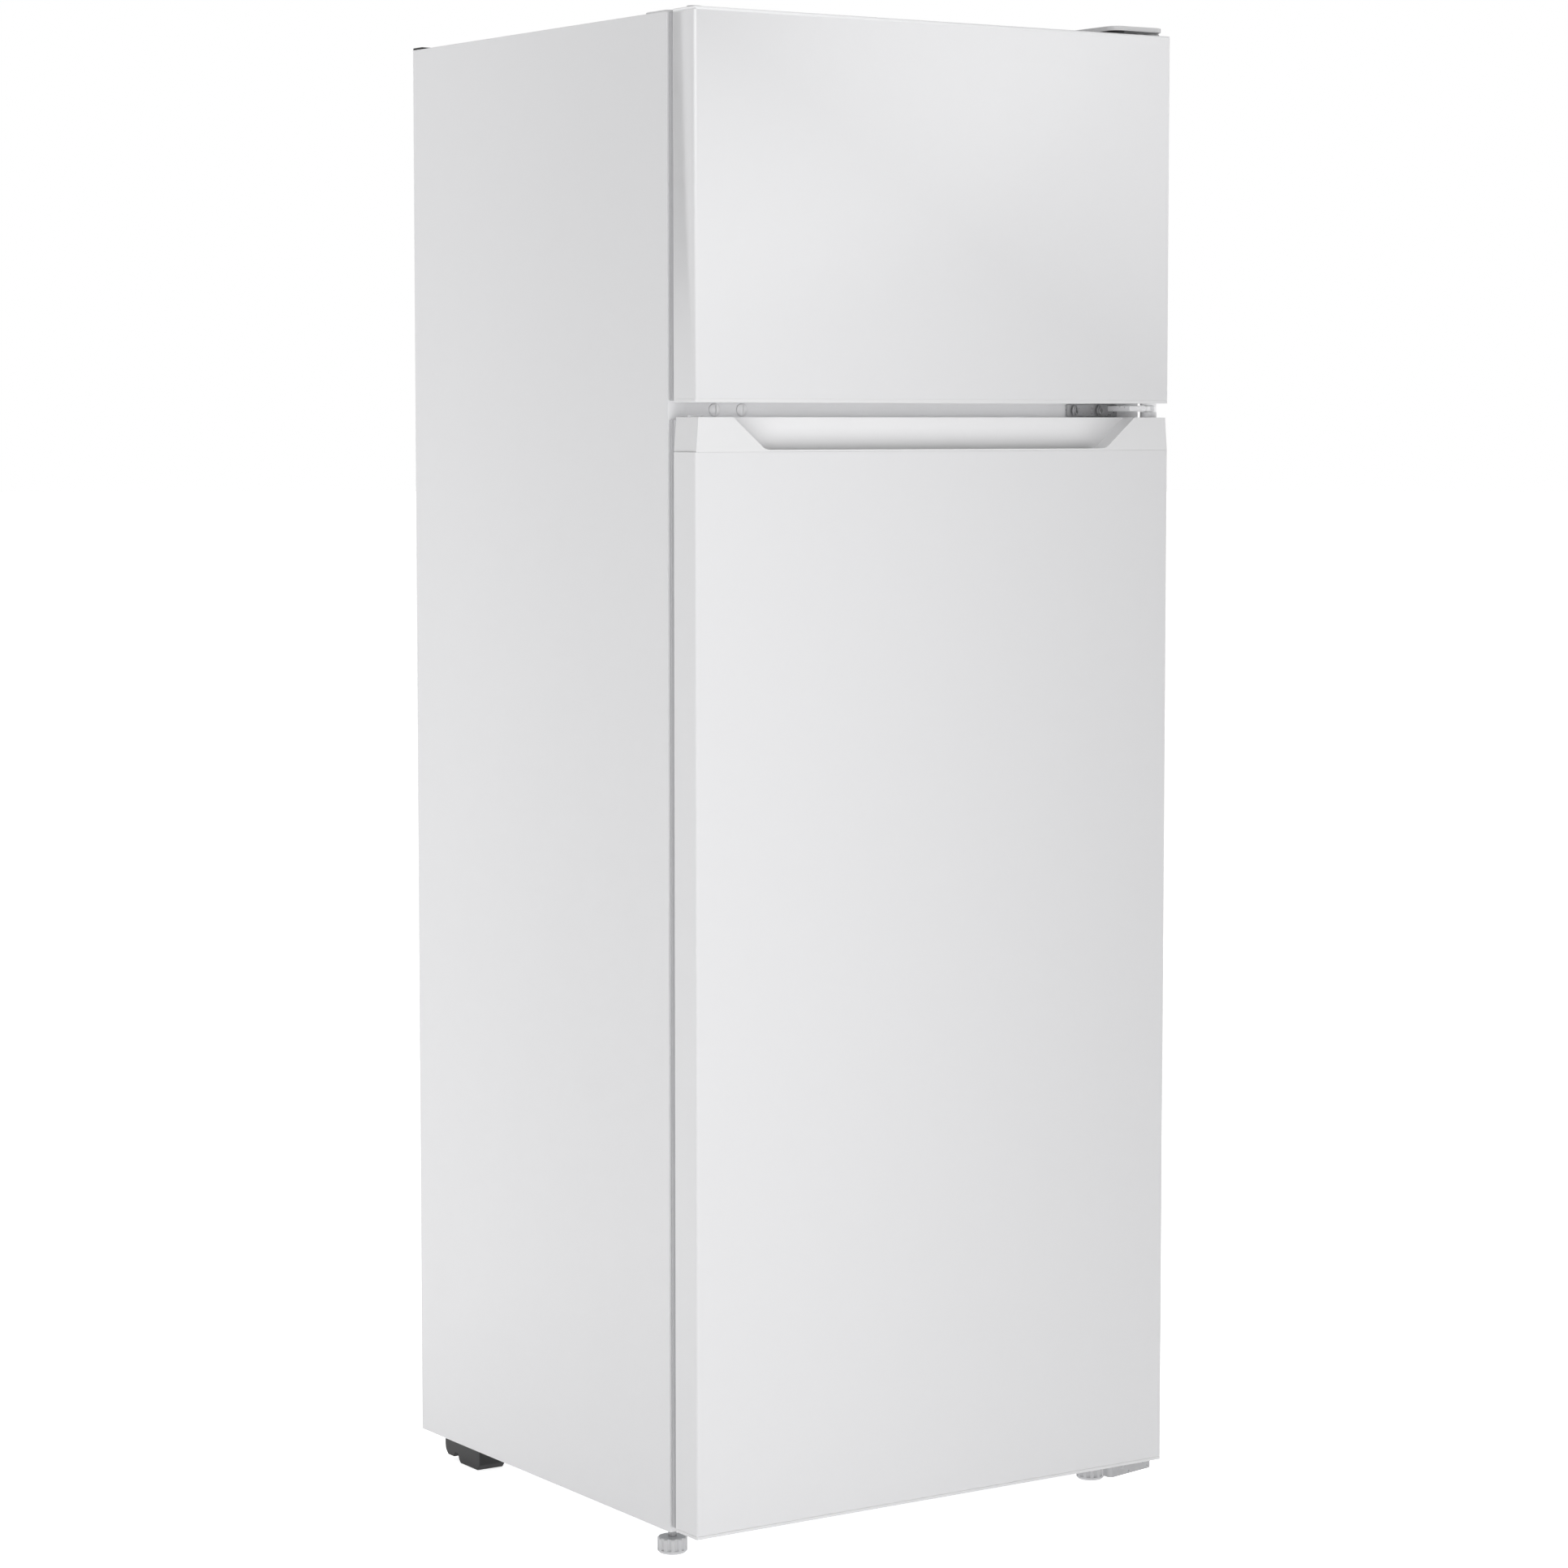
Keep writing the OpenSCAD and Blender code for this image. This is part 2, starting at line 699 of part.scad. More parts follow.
module suction_bar(r) {
  translate([suction_x, suction_y, compressor_z]) cylinder(r = r, h = suction_top - compressor_z);
}

module filter_drier() {
  color(copper) translate([drier_x, drier_y, drier_z]) rotate_extrude() polygon([
    [0, 0], [3, 0], [3, 12], [9, 20], [9, drier_len - 20], [3, drier_len - 12],
    [2, drier_len], [0, drier_len]
  ]);
}

module copper_lines() {
  cx = compressor_x;
  cy = compressor_y;
  cz = compressor_z;
  tube_r = condenser_r - 0.2;
  bend_r = condenser_pitch/2;
  run = condenser_x - bend_r;
  top_side = condenser_runs % 2 == 0 ? 1 : -1;
  riser_x = top_side*(condenser_x + 10);
  color(copper) difference() {
    union() {
      bent_tube([
        [cx + 56, cy + 24, cz + 40], [suction_x, cy + 24, cz + 40], [suction_x, suction_y, cz + 60],
        [suction_x, suction_y, suction_top]
      ], line_r - 0.5);
      bent_tube([
        [cx + top_side*30, cy + 54, cz + 30], [cx + top_side*60, body_y1 - 14, cz + 24],
        [riser_x - top_side*20, body_y1 - 8, cz + 24], [riser_x, condenser_y, cz + 60],
        [riser_x, condenser_y, condenser_z1], [top_side*run, condenser_y, condenser_z1]
      ], tube_r);
      bent_tube([
        [drier_x, drier_y, drier_z], [drier_x, drier_y, drier_z - 16],
        [drier_x - 14, body_y1 - 6, drier_z - 16], [drier_x + 4, condenser_y, drier_z + 40],
        [-run - 12, condenser_y, condenser_z0], [-run, condenser_y, condenser_z0]
      ], tube_r);
      bent_tube([
        [drier_x, drier_y, drier_z + drier_len], [drier_x, drier_y, drier_z + drier_len + 4],
        [drier_x + 20, drier_y - 8, niche_z - 14],
        [suction_x - 20, suction_y, niche_z - 14], [suction_x, suction_y, niche_z - 22]
      ], 1);
    }
    translate([cx, cy, 0]) cylinder(r = compressor_r, h = cz + 60);
  }
}

module evaporator_room() {
  span([-freezer_half + 20, freezer_back + liner_t, rail_z1 + 20],
       [freezer_half - 20, freezer_back + liner_t + 8, freezer_top - 20]);
}

module evaporator() {
  y = freezer_back + liner_t;
  pitch = (freezer_top - rail_z1 - 80)/5;
  color([0.8, 0.82, 0.84]) {
    span([-freezer_half + 20, y, rail_z1 + 20], [freezer_half - 20, y + 1.5, freezer_top - 20]);
    for (i = [0:5]) translate([-freezer_half + 30, y + 3.6, rail_z1 + 40 + i*pitch])
      rotate([0, 90, 0]) cylinder(r = 3, h = 2*freezer_half - 60, $fn = 24);
  }
}

module drain_bar(r) {
  translate([drain_x, drain_y, niche_z - 26]) cylinder(r = r, h = hump_z - niche_z + 26);
}

module drain_tube() {
  color(grey_plastic) difference() {
    drain_bar(drain_r);
    translate([0, 0, 1]) drain_bar(drain_r - 1.5);
    translate([0, 0, -1]) drain_bar(drain_r - 1.5);
  }
}

// ---- inside the compartments ----

module control_box() {
  z0 = rail_z0 - control_h;
  color(white_plastic) difference() {
    post([-control_w, control_y0, z0], [0, control_y0 + control_d, rail_z0], 5);
    span([-control_w + control_wall, control_y0 + control_wall, z0 + control_wall],
         [-control_wall, control_y0 + control_d - control_wall, rail_z0 + 1]);
    translate([knob_x, control_y0 - 1, knob_z]) rotate([-90, 0, 0]) cylinder(r = pin_r + pin_play, h = 5);
    translate([-5, control_y0 + control_d/2, knob_z]) rotate([0, 90, 0]) cylinder(r = 9, h = 10);
  }
}

module lamp_cover() {
  z0 = rail_z0 - control_h;
  color(clear_plastic) difference() {
    post([0, control_y0, z0], [control_w, control_y0 + control_d, rail_z0], 5);
    span([-1, control_y0 + control_wall, z0 + control_wall],
         [control_w - control_wall, control_y0 + control_d - control_wall, rail_z0 + 1]);
  }
}

module lamp_bulb() {
  color([0.97, 0.95, 0.88]) translate([-24, control_y0 + control_d/2, knob_z]) rotate([0, 90, 0]) {
    cylinder(r = 9, h = 34);
    rotate_extrude() polygon([[0, 34], [8, 34], for (a = [-50:20:90]) [13*cos(a), 54 + 13*sin(a)]]);
  }
}

module thermostat_knob() {
  ribs = 16;
  color(grey_plastic) translate([knob_x, control_y0 - hinge_air, knob_z]) rotate([90, 0, 0]) {
    translate([0, 0, -9]) cylinder(r = pin_r, h = 10);
    difference() {
      union() {
        cylinder(r = knob_r, h = 2.5);
        cylinder(r = knob_r - 2.5, h = 13);
      }
      for (i = [1:ribs - 1]) rotate([0, 0, 90 + i*360/ribs]) translate([knob_r - 2, 0, 3])
        cylinder(r = 1.6, h = 12, $fn = 24);
      translate([-0.6, 4, 12.2]) cube([1.2, knob_r, 2]);
    }
  }
}

module freezer_shelf() {
  half = freezer_half - 1.5;
  y1 = freezer_back - 6;
  r_frame = 2.5;
  r_wire = 1.4;
  n = floor((half - 12)/shelf_wire_pitch);
  z = freezer_shelf_z + r_frame;
  color(white_plastic) {
    for (y = [shelf_y0 + 4, (shelf_y0 + y1)/2, y1]) translate([-half, y, z]) rotate([0, 90, 0])
      cylinder(r = r_frame, h = 2*half, $fn = 24);
    for (i = [-n:n]) translate([i*shelf_wire_pitch, shelf_y0 + 4, z + r_frame + r_wire - 0.6])
      rotate([-90, 0, 0]) cylinder(r = r_wire, h = y1 - shelf_y0 - 4, $fn = 24);
  }
}

module glass_shelves() {
  color(clear_plastic) for (z = fridge_shelf_z)
    span([-fridge_half + 1, shelf_y0 + 2, z], [fridge_half - 1, fridge_back - rib_drop, z + shelf_t]);
}

module crisper_cover() {
  color(clear_plastic)
    span([-fridge_half + 1, shelf_y0 + 2, crisper_cover_z],
         [fridge_half - 1, fridge_back - rib_drop, crisper_cover_z + shelf_t]);
}

module shelf_trims() {
  color(white_plastic) for (z = concat(fridge_shelf_z, [crisper_cover_z])) difference() {
    span([-fridge_half + rib_d + 1, shelf_y0, z - 2],
         [fridge_half - rib_d - 1, shelf_y0 + 14, z + shelf_t + 2]);
    span([-half_w, shelf_y0 + 2, z], [half_w, shelf_y0 + 15, z + shelf_t]);
  }
}

// A block that is rounded in plan and along its two lower edges
module crisper_body(x, y0, y1, z0, z1, r) {
  intersection() {
    post([-x, y0, z0], [x, y1, z1], r);
    tunnel([-x, y0 - 1, z0], [x, y1 + 1, z1 + 2*liner_r], liner_r);
  }
}

module crisper_drawer() {
  x = fridge_half - crisper_air;
  y0 = shelf_y0;
  y1 = hump_y - 4;
  z0 = fridge_floor + crisper_lift;
  z1 = z0 + crisper_h;
  color(clear_plastic) difference() {
    crisper_body(x, y0, y1, z0, z1, 12);
    crisper_body(x - crisper_wall, y0 + crisper_wall + 2, y1 - crisper_wall, z0 + crisper_wall, z1 + 1, 10);
    tunnel([-70, y0 - 1, z1 - 34], [70, y0 + 3, z1 - 14], 8);
  }
}

// ---- doors ----

module door_plan(inset) { round_rect(body_w - 2*inset, door_t - 2*inset, max(edge_r - inset, 0.4)); }

module door_slab(z0, z1, inset) {
  translate([0, front_y + door_t/2, z0]) linear_extrude(z1 - z0) door_plan(inset);
}

// The folded steel skin: front, sides and a return under the gasket
module door_skin(z0, z1) {
  difference() {
    door_slab(z0, z1, 0);
    door_slab(z0 - 1, z1 + 1, sheet);
    span([-half_w + rear_flange_w, door_back_y - sheet - 0.5, z0 - 1],
         [half_w - rear_flange_w, door_back_y + 1, z1 + 1]);
  }
}

// The rim and the hinge boss of an end cap, seen from the cap's outer face at z = 0
module cap_rim_ring(over) {
  rim_w = body_w - 2*sheet - 1;
  rim_d = door_t - 2*sheet - 2*liner_t;
  rim_t = 2;
  translate([0, front_y + door_t/2, -cap_t - cap_rim]) linear_extrude(cap_rim + over) difference() {
    square([rim_w, rim_d], center = true);
    square([rim_w - 2*rim_t, rim_d - 2*rim_t], center = true);
  }
}

module cap_boss(over) {
  translate([hinge_x, hinge_y, -cap_t - pin_engage]) cylinder(r = boss_r, h = cap_t + pin_engage + over);
}

// Plastic end cap with a rim that sits inside the skin; up = 1 for a top cap, -1 for a bottom cap
module door_cap(z, up) {
  translate([0, 0, z]) mirror([0, 0, up > 0 ? 0 : 1]) {
    translate([0, front_y + door_t/2, -cap_t]) linear_extrude(cap_t) door_plan(0);
    cap_rim_ring(0.5);
    cap_boss(0);
  }
}

// Room that a cap's rim and boss take out of the foam
module cap_room(z, up) {
  translate([0, 0, z]) mirror([0, 0, up > 0 ? 0 : 1]) {
    cap_rim_ring(1);
    cap_boss(1);
  }
}

module pin_bore(z0, z1) { translate([hinge_x, hinge_y, z0]) cylinder(r = pin_r + pin_play, h = z1 - z0); }

module dyke(half, z0, z1, grow, inner) {
  difference() {
    tunnel([-half - grow, door_back_y - liner_t - 0.5, z0 - grow],
           [half + grow, door_back_y + dyke_h + grow, z1 + grow], liner_r + grow);
    tunnel([-half + dyke_wall + grow, door_back_y - 5, z0 + dyke_wall + grow],
           [half - dyke_wall - grow, door_back_y + dyke_h + 5, z1 - dyke_wall - grow], inner);
  }
}

// Vacuum-formed inner panel with a raised dyke and lugs for the racks
module door_liner(z0, z1, half, d0, d1, lugs) {
  lug = 6;
  difference() {
    union() {
      span([-half_w + rear_flange_w, door_back_y - liner_t, z0], [half_w - rear_flange_w, door_back_y, z1]);
      dyke(half, d0, d1, 0, 6);
    }
    difference() {
      dyke(half, d0, d1, -liner_t, 6 + liner_t);
      span([-half_w, door_back_y + dyke_h - liner_t, 0], [half_w, door_back_y + 2*dyke_h, body_z1 + 100]);
    }
    span([-half_w, front_y, z0 - 1], [half_w, door_back_y - liner_t, z1 + 1]);
  }
  for (z = lugs) both_sides()
    span([-half + dyke_wall - 0.5, door_back_y - 0.5, z - 8],
         [-half + dyke_wall + lug, door_back_y + dyke_h - 6, z]);
}

module door_core(z0, z1, half, d0, d1) {
  difference() {
    union() {
      span([-half_w + sheet + 1.2, front_y + sheet, z0], [half_w - sheet - 1.2, door_back_y - liner_t, z1]);
      difference() {
        dyke(half, d0, d1, -liner_t, 6 + liner_t);
        span([-half_w, door_back_y + dyke_h - liner_t, 0], [half_w, door_back_y + 2*dyke_h, body_z1 + 100]);
      }
    }
    span([-half_w, front_y - 1, z0 - 50], [half_w, door_back_y + dyke_h + 10, z0]);
  }
}

module gasket(z0, z1) {
  side = 2;
  band = 20;
  base_h = gasket_gap - 4;
  head_x = hinge_x - 1;
  difference() {
    union() {
      span([-half_w + side, door_back_y, z0], [half_w - side, door_back_y + base_h, z1]);
      span([-half_w + side, door_back_y + base_h - 0.5, z0], [head_x, body_y0 - hinge_air, z1]);
    }
    span([-half_w + side + band, door_back_y - 1, z0 + band], [half_w - side - band, body_y0 + 1, z1 - band]);
  }
}

module rack(half, z, h) {
  y0 = door_back_y;
  y1 = door_back_y + rack_d;
  x = half - dyke_wall;
  difference() {
    post([-x, y0, z], [x, y1, z + h], 8);
    post([-x + rack_wall, y0 + rack_wall, z + rack_wall], [x - rack_wall, y1 - rack_wall, z + h + 1], 6);
  }
}

module side_plug(z) {
  color(white_plastic) translate([-hinge_x, hinge_y, z]) {
    translate([0, 0, -6]) cylinder(r = pin_r, h = 6.5);
    linear_extrude(1.8) { round_rect(13, 10, 4.5); }
  }
}

// ---- freezer door ----

module freezer_door_skin() { color(white_paint) door_skin(freezer_z0 + cap_t, door_z1 - cap_t); }

module freezer_door_foam() {
  color(foam_yellow) difference() {
    door_core(freezer_z0 + cap_t, door_z1 - cap_t, freezer_dyke, freezer_d0, freezer_d1);
    cap_room(door_z1, 1);
    cap_room(freezer_z0, -1);
    finger_groove(0, freezer_z0, freezer_z0 + groove_d + groove_wall);
    translate([-hinge_x, hinge_y, door_z1 - 12]) cylinder(r = pin_r + 1, h = 20);
  }
}

module freezer_door_liner() {
  color(white_plastic) door_liner(freezer_z0 + cap_t, door_z1 - cap_t, freezer_dyke, freezer_d0,
                                  freezer_d1, freezer_racks);
}

module freezer_door_top_cap() {
  color(white_plastic) difference() {
    union() {
      door_cap(door_z1, 1);
      translate([hinge_x, hinge_y, door_z1 - 1])
        cylinder(r = collar_r, h = top_plate_z - hinge_air - door_z1 + 1);
    }
    pin_bore(door_z1 - cap_t - pin_engage + 1, door_z1 + 10);
    translate([-hinge_x, hinge_y, door_z1 - 12]) cylinder(r = pin_r + shank_play, h = 20);
  }
}

// A long round-ended body above the freezer door's lower edge: the finger groove or its wall
module finger_groove(inset, z0, z1) {
  translate([0, front_y + groove_y, z0]) linear_extrude(z1 - z0)
    round_rect(2*(groove_half - inset), groove_w - 2*inset, groove_w/2 - inset - 1);
}

module freezer_door_bottom_cap() {
  color(white_plastic) difference() {
    union() {
      door_cap(freezer_z0, -1);
      finger_groove(0, freezer_z0 + 0.5, freezer_z0 + groove_d + groove_wall);
      translate([hinge_x, hinge_y, arm_z1 + hinge_air]) cylinder(r = collar_r, h = freezer_z0 - arm_z1);
    }
    finger_groove(groove_wall, freezer_z0 - 1, freezer_z0 + groove_d);
    pin_bore(freezer_z0 - 10, freezer_z0 + cap_t + pin_engage - 0.5);
  }
}

module freezer_door_gasket() { color(grey_plastic) gasket(freezer_z0 + 1.5, door_z1 - 2); }

module freezer_door_racks() {
  color(clear_plastic) for (z = freezer_racks) rack(freezer_dyke, z, freezer_rack_h);
}

module freezer_door_plug() { side_plug(door_z1); }

// ---- fridge door ----

module fridge_door_skin() { color(white_paint) door_skin(door_z0 + cap_t, trim_z0); }

module fridge_door_foam() {
  color(foam_yellow) difference() {
    door_core(door_z0 + cap_t, trim_z0 - plug_part_h, fridge_dyke, fridge_d0, fridge_d1);
    cap_room(door_z0, -1);
    span([-half_w, front_y, trim_z0 - plug_part_h], [half_w, door_back_y - liner_t, trim_z1]);
  }
}

module fridge_door_liner() {
  color(white_plastic)
    door_liner(door_z0 + cap_t, trim_z0, fridge_dyke, fridge_d0, fridge_d1,
               concat(fridge_racks, [bottle_rack_z]));
}

// Outline of the hand recess, seen from the front: wide at the top, round at the bottom
module recess_outline() {
  top_half = half_w - 41;
  foot_half = half_w - 76;
  corner = 15;
  rise = trim_z1 - recess_floor_z;
  side = atan2(top_half - foot_half, rise);
  shift = corner*tan((90 - side)/2);
  translate([0, recess_floor_z]) {
    difference() {
      polygon([
        [-foot_half, 0], [foot_half, 0], [top_half, rise],
        [top_half, 2*rise], [-top_half, 2*rise], [-top_half, rise]
      ]);
      for (s = [-1, 1]) difference() {
        polygon([
          [s*(foot_half + 2), -1], [s*(foot_half - shift), -1], [s*(foot_half - shift), corner*0.5],
          [s*(foot_half + shift*sin(side)), shift*cos(side)],
          [s*(foot_half + shift*sin(side) + 2), shift*cos(side) - 1]
        ]);
        translate([s*(foot_half - shift), corner]) circle(corner);
      }
    }
  }
}

module handle_trim() {
  lip = 3.5;
  color(white_plastic) difference() {
    union() {
      translate([0, door_back_y, 0]) rotate([90, 0, 0]) linear_extrude(door_t)
        polygon([[-half_w + 1, trim_z0], [half_w - 1, trim_z0], [half_w - 3.4, trim_z1],
                 [-half_w + 3.4, trim_z1]]);
      span([-half_w + sheet + 1.2, front_y + sheet, trim_z0 - plug_part_h],
           [half_w - sheet - 1.2, door_back_y - liner_t, trim_z0 + 1]);
      translate([hinge_x, hinge_y, trim_z1 - 1]) cylinder(r = collar_r, h = arm_z0 - hinge_air - trim_z1 + 1);
    }
    translate([0, front_y + recess_d, 0]) rotate([90, 0, 0]) linear_extrude(recess_d + 5) recess_outline();
    post([-groove_half, front_y + lip, trim_z0 - plug_part_h + 3],
         [groove_half, front_y + recess_d, recess_floor_z + 0.5], 4);
    pin_bore(arm_z0 - pin_engage - 3, trim_z1 + 20);
    translate([-hinge_x, hinge_y, trim_z1 - 12]) cylinder(r = pin_r + shank_play, h = 20);
    both_sides() span([groove_half + 10, front_y + recess_d + 3, trim_z0 - plug_part_h - 1],
                      [half_w - 30, door_back_y - 8, trim_z0 + 14]);
  }
}

module fridge_door_bottom_cap() {
  color(white_plastic) difference() {
    union() {
      door_cap(door_z0, -1);
      translate([hinge_x, hinge_y, body_z0 + hinge_air]) cylinder(r = collar_r, h = door_z0 - body_z0);
    }
    pin_bore(body_z0 - 5, door_z0 + cap_t + pin_engage - 0.5);
  }
}

module fridge_door_gasket() { color(grey_plastic) gasket(door_z0 + 2, trim_z1 - 2); }

module fridge_door_racks() {
  color(clear_plastic) for (z = fridge_racks) rack(fridge_dyke, z, fridge_rack_h);
}

module bottle_rack() { color(clear_plastic) rack(fridge_dyke, bottle_rack_z, bottle_rack_h); }

module fridge_door_plug() { side_plug(trim_z1); }

// ---- feet ----

module levelling_foot() {
  chamfer = 2;
  translate([0, foot_y, 0]) {
    difference() {
      rotate_extrude() polygon([[0, 0], [foot_r - chamfer, 0], [foot_r, chamfer], [foot_r, foot_h - 1],
                                [foot_r - 1, foot_h], [0, foot_h]]);
      for (i = [0:foot_flutes - 1]) rotate([0, 0, (i + 0.5)*360/foot_flutes])
        translate([foot_r + 0.8, 0, chamfer + 1.5]) cylinder(r = 2.2, h = foot_h, $fn = 32);
    }
    translate([0, 0, foot_h - 0.5]) cylinder(r = stud_r, h = floor_gap + nut_h - 2 - foot_h);
  }
}

module foot_left() { color(grey_plastic) translate([-foot_x, 0, 0]) levelling_foot(); }

module foot_right() { color(grey_plastic) translate([foot_x, 0, 0]) levelling_foot(); }

side_panel_left();
side_panel_right();
top_panel();
back_panel();
base_pan();
compressor_deck();
freezer_foam();
fridge_foam();
freezer_liner();
fridge_liner();
mid_rail();
rail_plugs();
mid_hinge();
top_hinge();
bottom_hinge();
hinge_screws();
top_hinge_cover();
top_corner_cover();
rear_top_trim();
compressor_rail();
rear_feet();
compressor();
compressor_grommets();
relay_cover();
drip_tray();
condenser_tube();
condenser_wires();
condenser_brackets();
filter_drier();
copper_lines();
cord_gland();
evaporator();
drain_tube();
control_box();
lamp_cover();
lamp_bulb();
freezer_shelf();
glass_shelves();
crisper_cover();
shelf_trims();
thermostat_knob();
crisper_drawer();
freezer_door_skin();
freezer_door_foam();
freezer_door_liner();
freezer_door_top_cap();
freezer_door_bottom_cap();
freezer_door_gasket();
freezer_door_racks();
freezer_door_plug();
fridge_door_skin();
fridge_door_foam();
fridge_door_liner();
handle_trim();
fridge_door_bottom_cap();
fridge_door_gasket();
fridge_door_racks();
bottle_rack();
fridge_door_plug();
foot_left();
foot_right();
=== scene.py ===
# %% [markdown]
# # A top-freezer refrigerator, dressed for the camera
# The cabinet, doors and works were designed as exact solids elsewhere and arrive here as a frame.
# This lesson leaves every solid where it is and gives it what a drawing lacks: rounded edges, paint,
# plastic grain, pressed ribs, wires and light. Everything is measured in metres.

# %% Load the frame
import json
import math

import bmesh
import bpy
import numpy as np
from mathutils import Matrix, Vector

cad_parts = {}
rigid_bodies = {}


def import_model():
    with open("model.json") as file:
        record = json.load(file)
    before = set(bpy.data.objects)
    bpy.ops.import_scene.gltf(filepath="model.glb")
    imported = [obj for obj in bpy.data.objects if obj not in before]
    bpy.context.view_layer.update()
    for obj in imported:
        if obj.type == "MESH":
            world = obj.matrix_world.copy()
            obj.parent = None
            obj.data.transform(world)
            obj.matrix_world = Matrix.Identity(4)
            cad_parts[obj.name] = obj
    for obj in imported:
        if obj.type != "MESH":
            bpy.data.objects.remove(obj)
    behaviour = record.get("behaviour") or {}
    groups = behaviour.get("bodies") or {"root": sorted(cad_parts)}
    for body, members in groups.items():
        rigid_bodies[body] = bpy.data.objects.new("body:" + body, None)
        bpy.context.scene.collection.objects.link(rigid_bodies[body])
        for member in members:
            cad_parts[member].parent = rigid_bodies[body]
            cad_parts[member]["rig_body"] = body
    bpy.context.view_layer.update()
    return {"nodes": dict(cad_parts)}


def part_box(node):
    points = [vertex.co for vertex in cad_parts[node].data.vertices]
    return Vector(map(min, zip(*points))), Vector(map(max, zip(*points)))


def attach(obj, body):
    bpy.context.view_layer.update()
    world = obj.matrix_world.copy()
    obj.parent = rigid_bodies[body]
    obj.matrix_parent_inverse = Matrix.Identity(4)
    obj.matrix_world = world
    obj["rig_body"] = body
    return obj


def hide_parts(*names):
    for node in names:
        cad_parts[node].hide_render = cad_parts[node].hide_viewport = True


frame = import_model()

# %% [markdown]
# ## The camera
# A tall appliance is usually taken with a long lens from a few metres away, at about three quarters
# of its height, so that its sides stay nearly parallel. A small vertical shift helps with that.

# %% Camera
MM = 0.001


def aim(yaw, pitch):
    """Turns a yaw from +Y towards +X and a pitch above the horizon, in degrees, into a rotation."""
    return (math.radians(90 + pitch), 0, math.radians(-yaw))


camera_data = bpy.data.cameras.new("camera")
camera_data.sensor_width = 36
camera_data.lens = 95.1
camera_data.shift_y = -0.03
camera_data.clip_start = 0.05
camera_data.clip_end = 200
camera = bpy.data.objects.new("camera", camera_data)
camera.location = (-2.2772, -3.4445, 1.060)
camera.rotation_euler = aim(33.558, -4.346)
bpy.context.scene.collection.objects.link(camera)
bpy.context.scene.camera = camera
print("camera", camera_data.lens, "mm, at", tuple(camera.location))

# %% [markdown]
# ## Light and floor
# White goods are lit by large soft boxes, which leave slow gradients on flat sheet metal instead of
# hard reflections. One box stands in front of the doors, one beside the left side, one behind and
# one to the right, and a soft sun overhead lifts what faces up. Two narrow strips stand in the gap
# between the doors and in the hand recess, where the boxes hardly reach; they are left out of
# reflections. The world is plain white to the camera, but lights the scene only faintly.

# %% Studio
bpy.context.scene.view_settings.view_transform = "Standard"
world = bpy.data.worlds.new("studio")
bpy.context.scene.world = world
world.use_nodes = True
world_tree = world.node_tree
world_tree.nodes.clear()
world_out = world_tree.nodes.new("ShaderNodeOutputWorld")
seen, unseen = (world_tree.nodes.new("ShaderNodeBackground") for _ in range(2))
seen.inputs["Strength"].default_value = 1.0
seen.inputs["Color"].default_value = (1, 1, 1, 1)
unseen.inputs["Color"].default_value = (1, 1, 1, 1)
unseen.inputs["Strength"].default_value = 0.05
light_path = world_tree.nodes.new("ShaderNodeLightPath")
either = world_tree.nodes.new("ShaderNodeMixShader")
world_tree.links.new(light_path.outputs["Is Camera Ray"], either.inputs[0])
world_tree.links.new(unseen.outputs[0], either.inputs[1])
world_tree.links.new(seen.outputs[0], either.inputs[2])
world_tree.links.new(either.outputs[0], world_out.inputs["Surface"])


def softbox(name, place, target, width, height, watts):
    """A rectangular area light that faces its target."""
    lamp = bpy.data.lights.new(name, "AREA")
    lamp.shape, lamp.size, lamp.size_y, lamp.energy = "RECTANGLE", width, height, watts
    lit = bpy.data.objects.new(name, lamp)
    lit.location = place
    lit.rotation_euler = (Vector(target) - Vector(place)).to_track_quat("-Z", "Y").to_euler()
    lit.visible_camera = False
    bpy.context.scene.collection.objects.link(lit)
    return lit


softbox("front_box", (-0.42, -1.0, 1.0), (-0.12, -0.28, 1.0), 0.9, 3.0, 10.2)
softbox("side_box", (-0.80, 0.46, 1.0), (-0.27, 0.10, 1.0), 0.9, 3.0, 6.6)
softbox("back_box", (1.3, 1.9, 1.3), (0.1, 0.25, 0.7), 1.4, 2.6, 22)
softbox("right_box", (2.2, -0.5, 1.3), (0.27, 0, 0.7), 1.4, 2.6, 14)
GAP_Z = 1.07125
RECESS_Z = 1.050
gap_strip = softbox("gap_strip", (-0.03, -0.258, GAP_Z), (-0.03, -0.23, GAP_Z), 0.48, 0.008, 0.020)
gap_strip.visible_glossy = False
recess_strip = softbox("recess_strip", (0, -0.2765, RECESS_Z), (0, -0.26, RECESS_Z), 0.38, 0.022, 0.011)
recess_strip.visible_glossy = False
sky = bpy.data.lights.new("sky_light", "SUN")
sky.energy = 1.1
sky.angle = math.radians(20)
sky_light = bpy.data.objects.new("sky_light", sky)
bpy.context.scene.collection.objects.link(sky_light)

floor_mesh = bpy.data.meshes.new("floor")
disc = bmesh.new()
bmesh.ops.create_circle(disc, cap_ends=True, segments=96, radius=60)
disc.to_mesh(floor_mesh)
disc.free()
floor = bpy.data.objects.new("floor", floor_mesh)
bpy.context.scene.collection.objects.link(floor)
print("studio: four soft boxes, two strips, a soft sun and a round floor")

# %% [markdown]
# ## Finishes
# A finish is more than a colour. Roller-coated steel has a fine orange peel, moulded plastic has a
# spark-eroded grain, and both scatter light a little unevenly. The helpers below wire a noise into
# the roughness and a bump into the normal. Constants stay on the shader's own sockets.

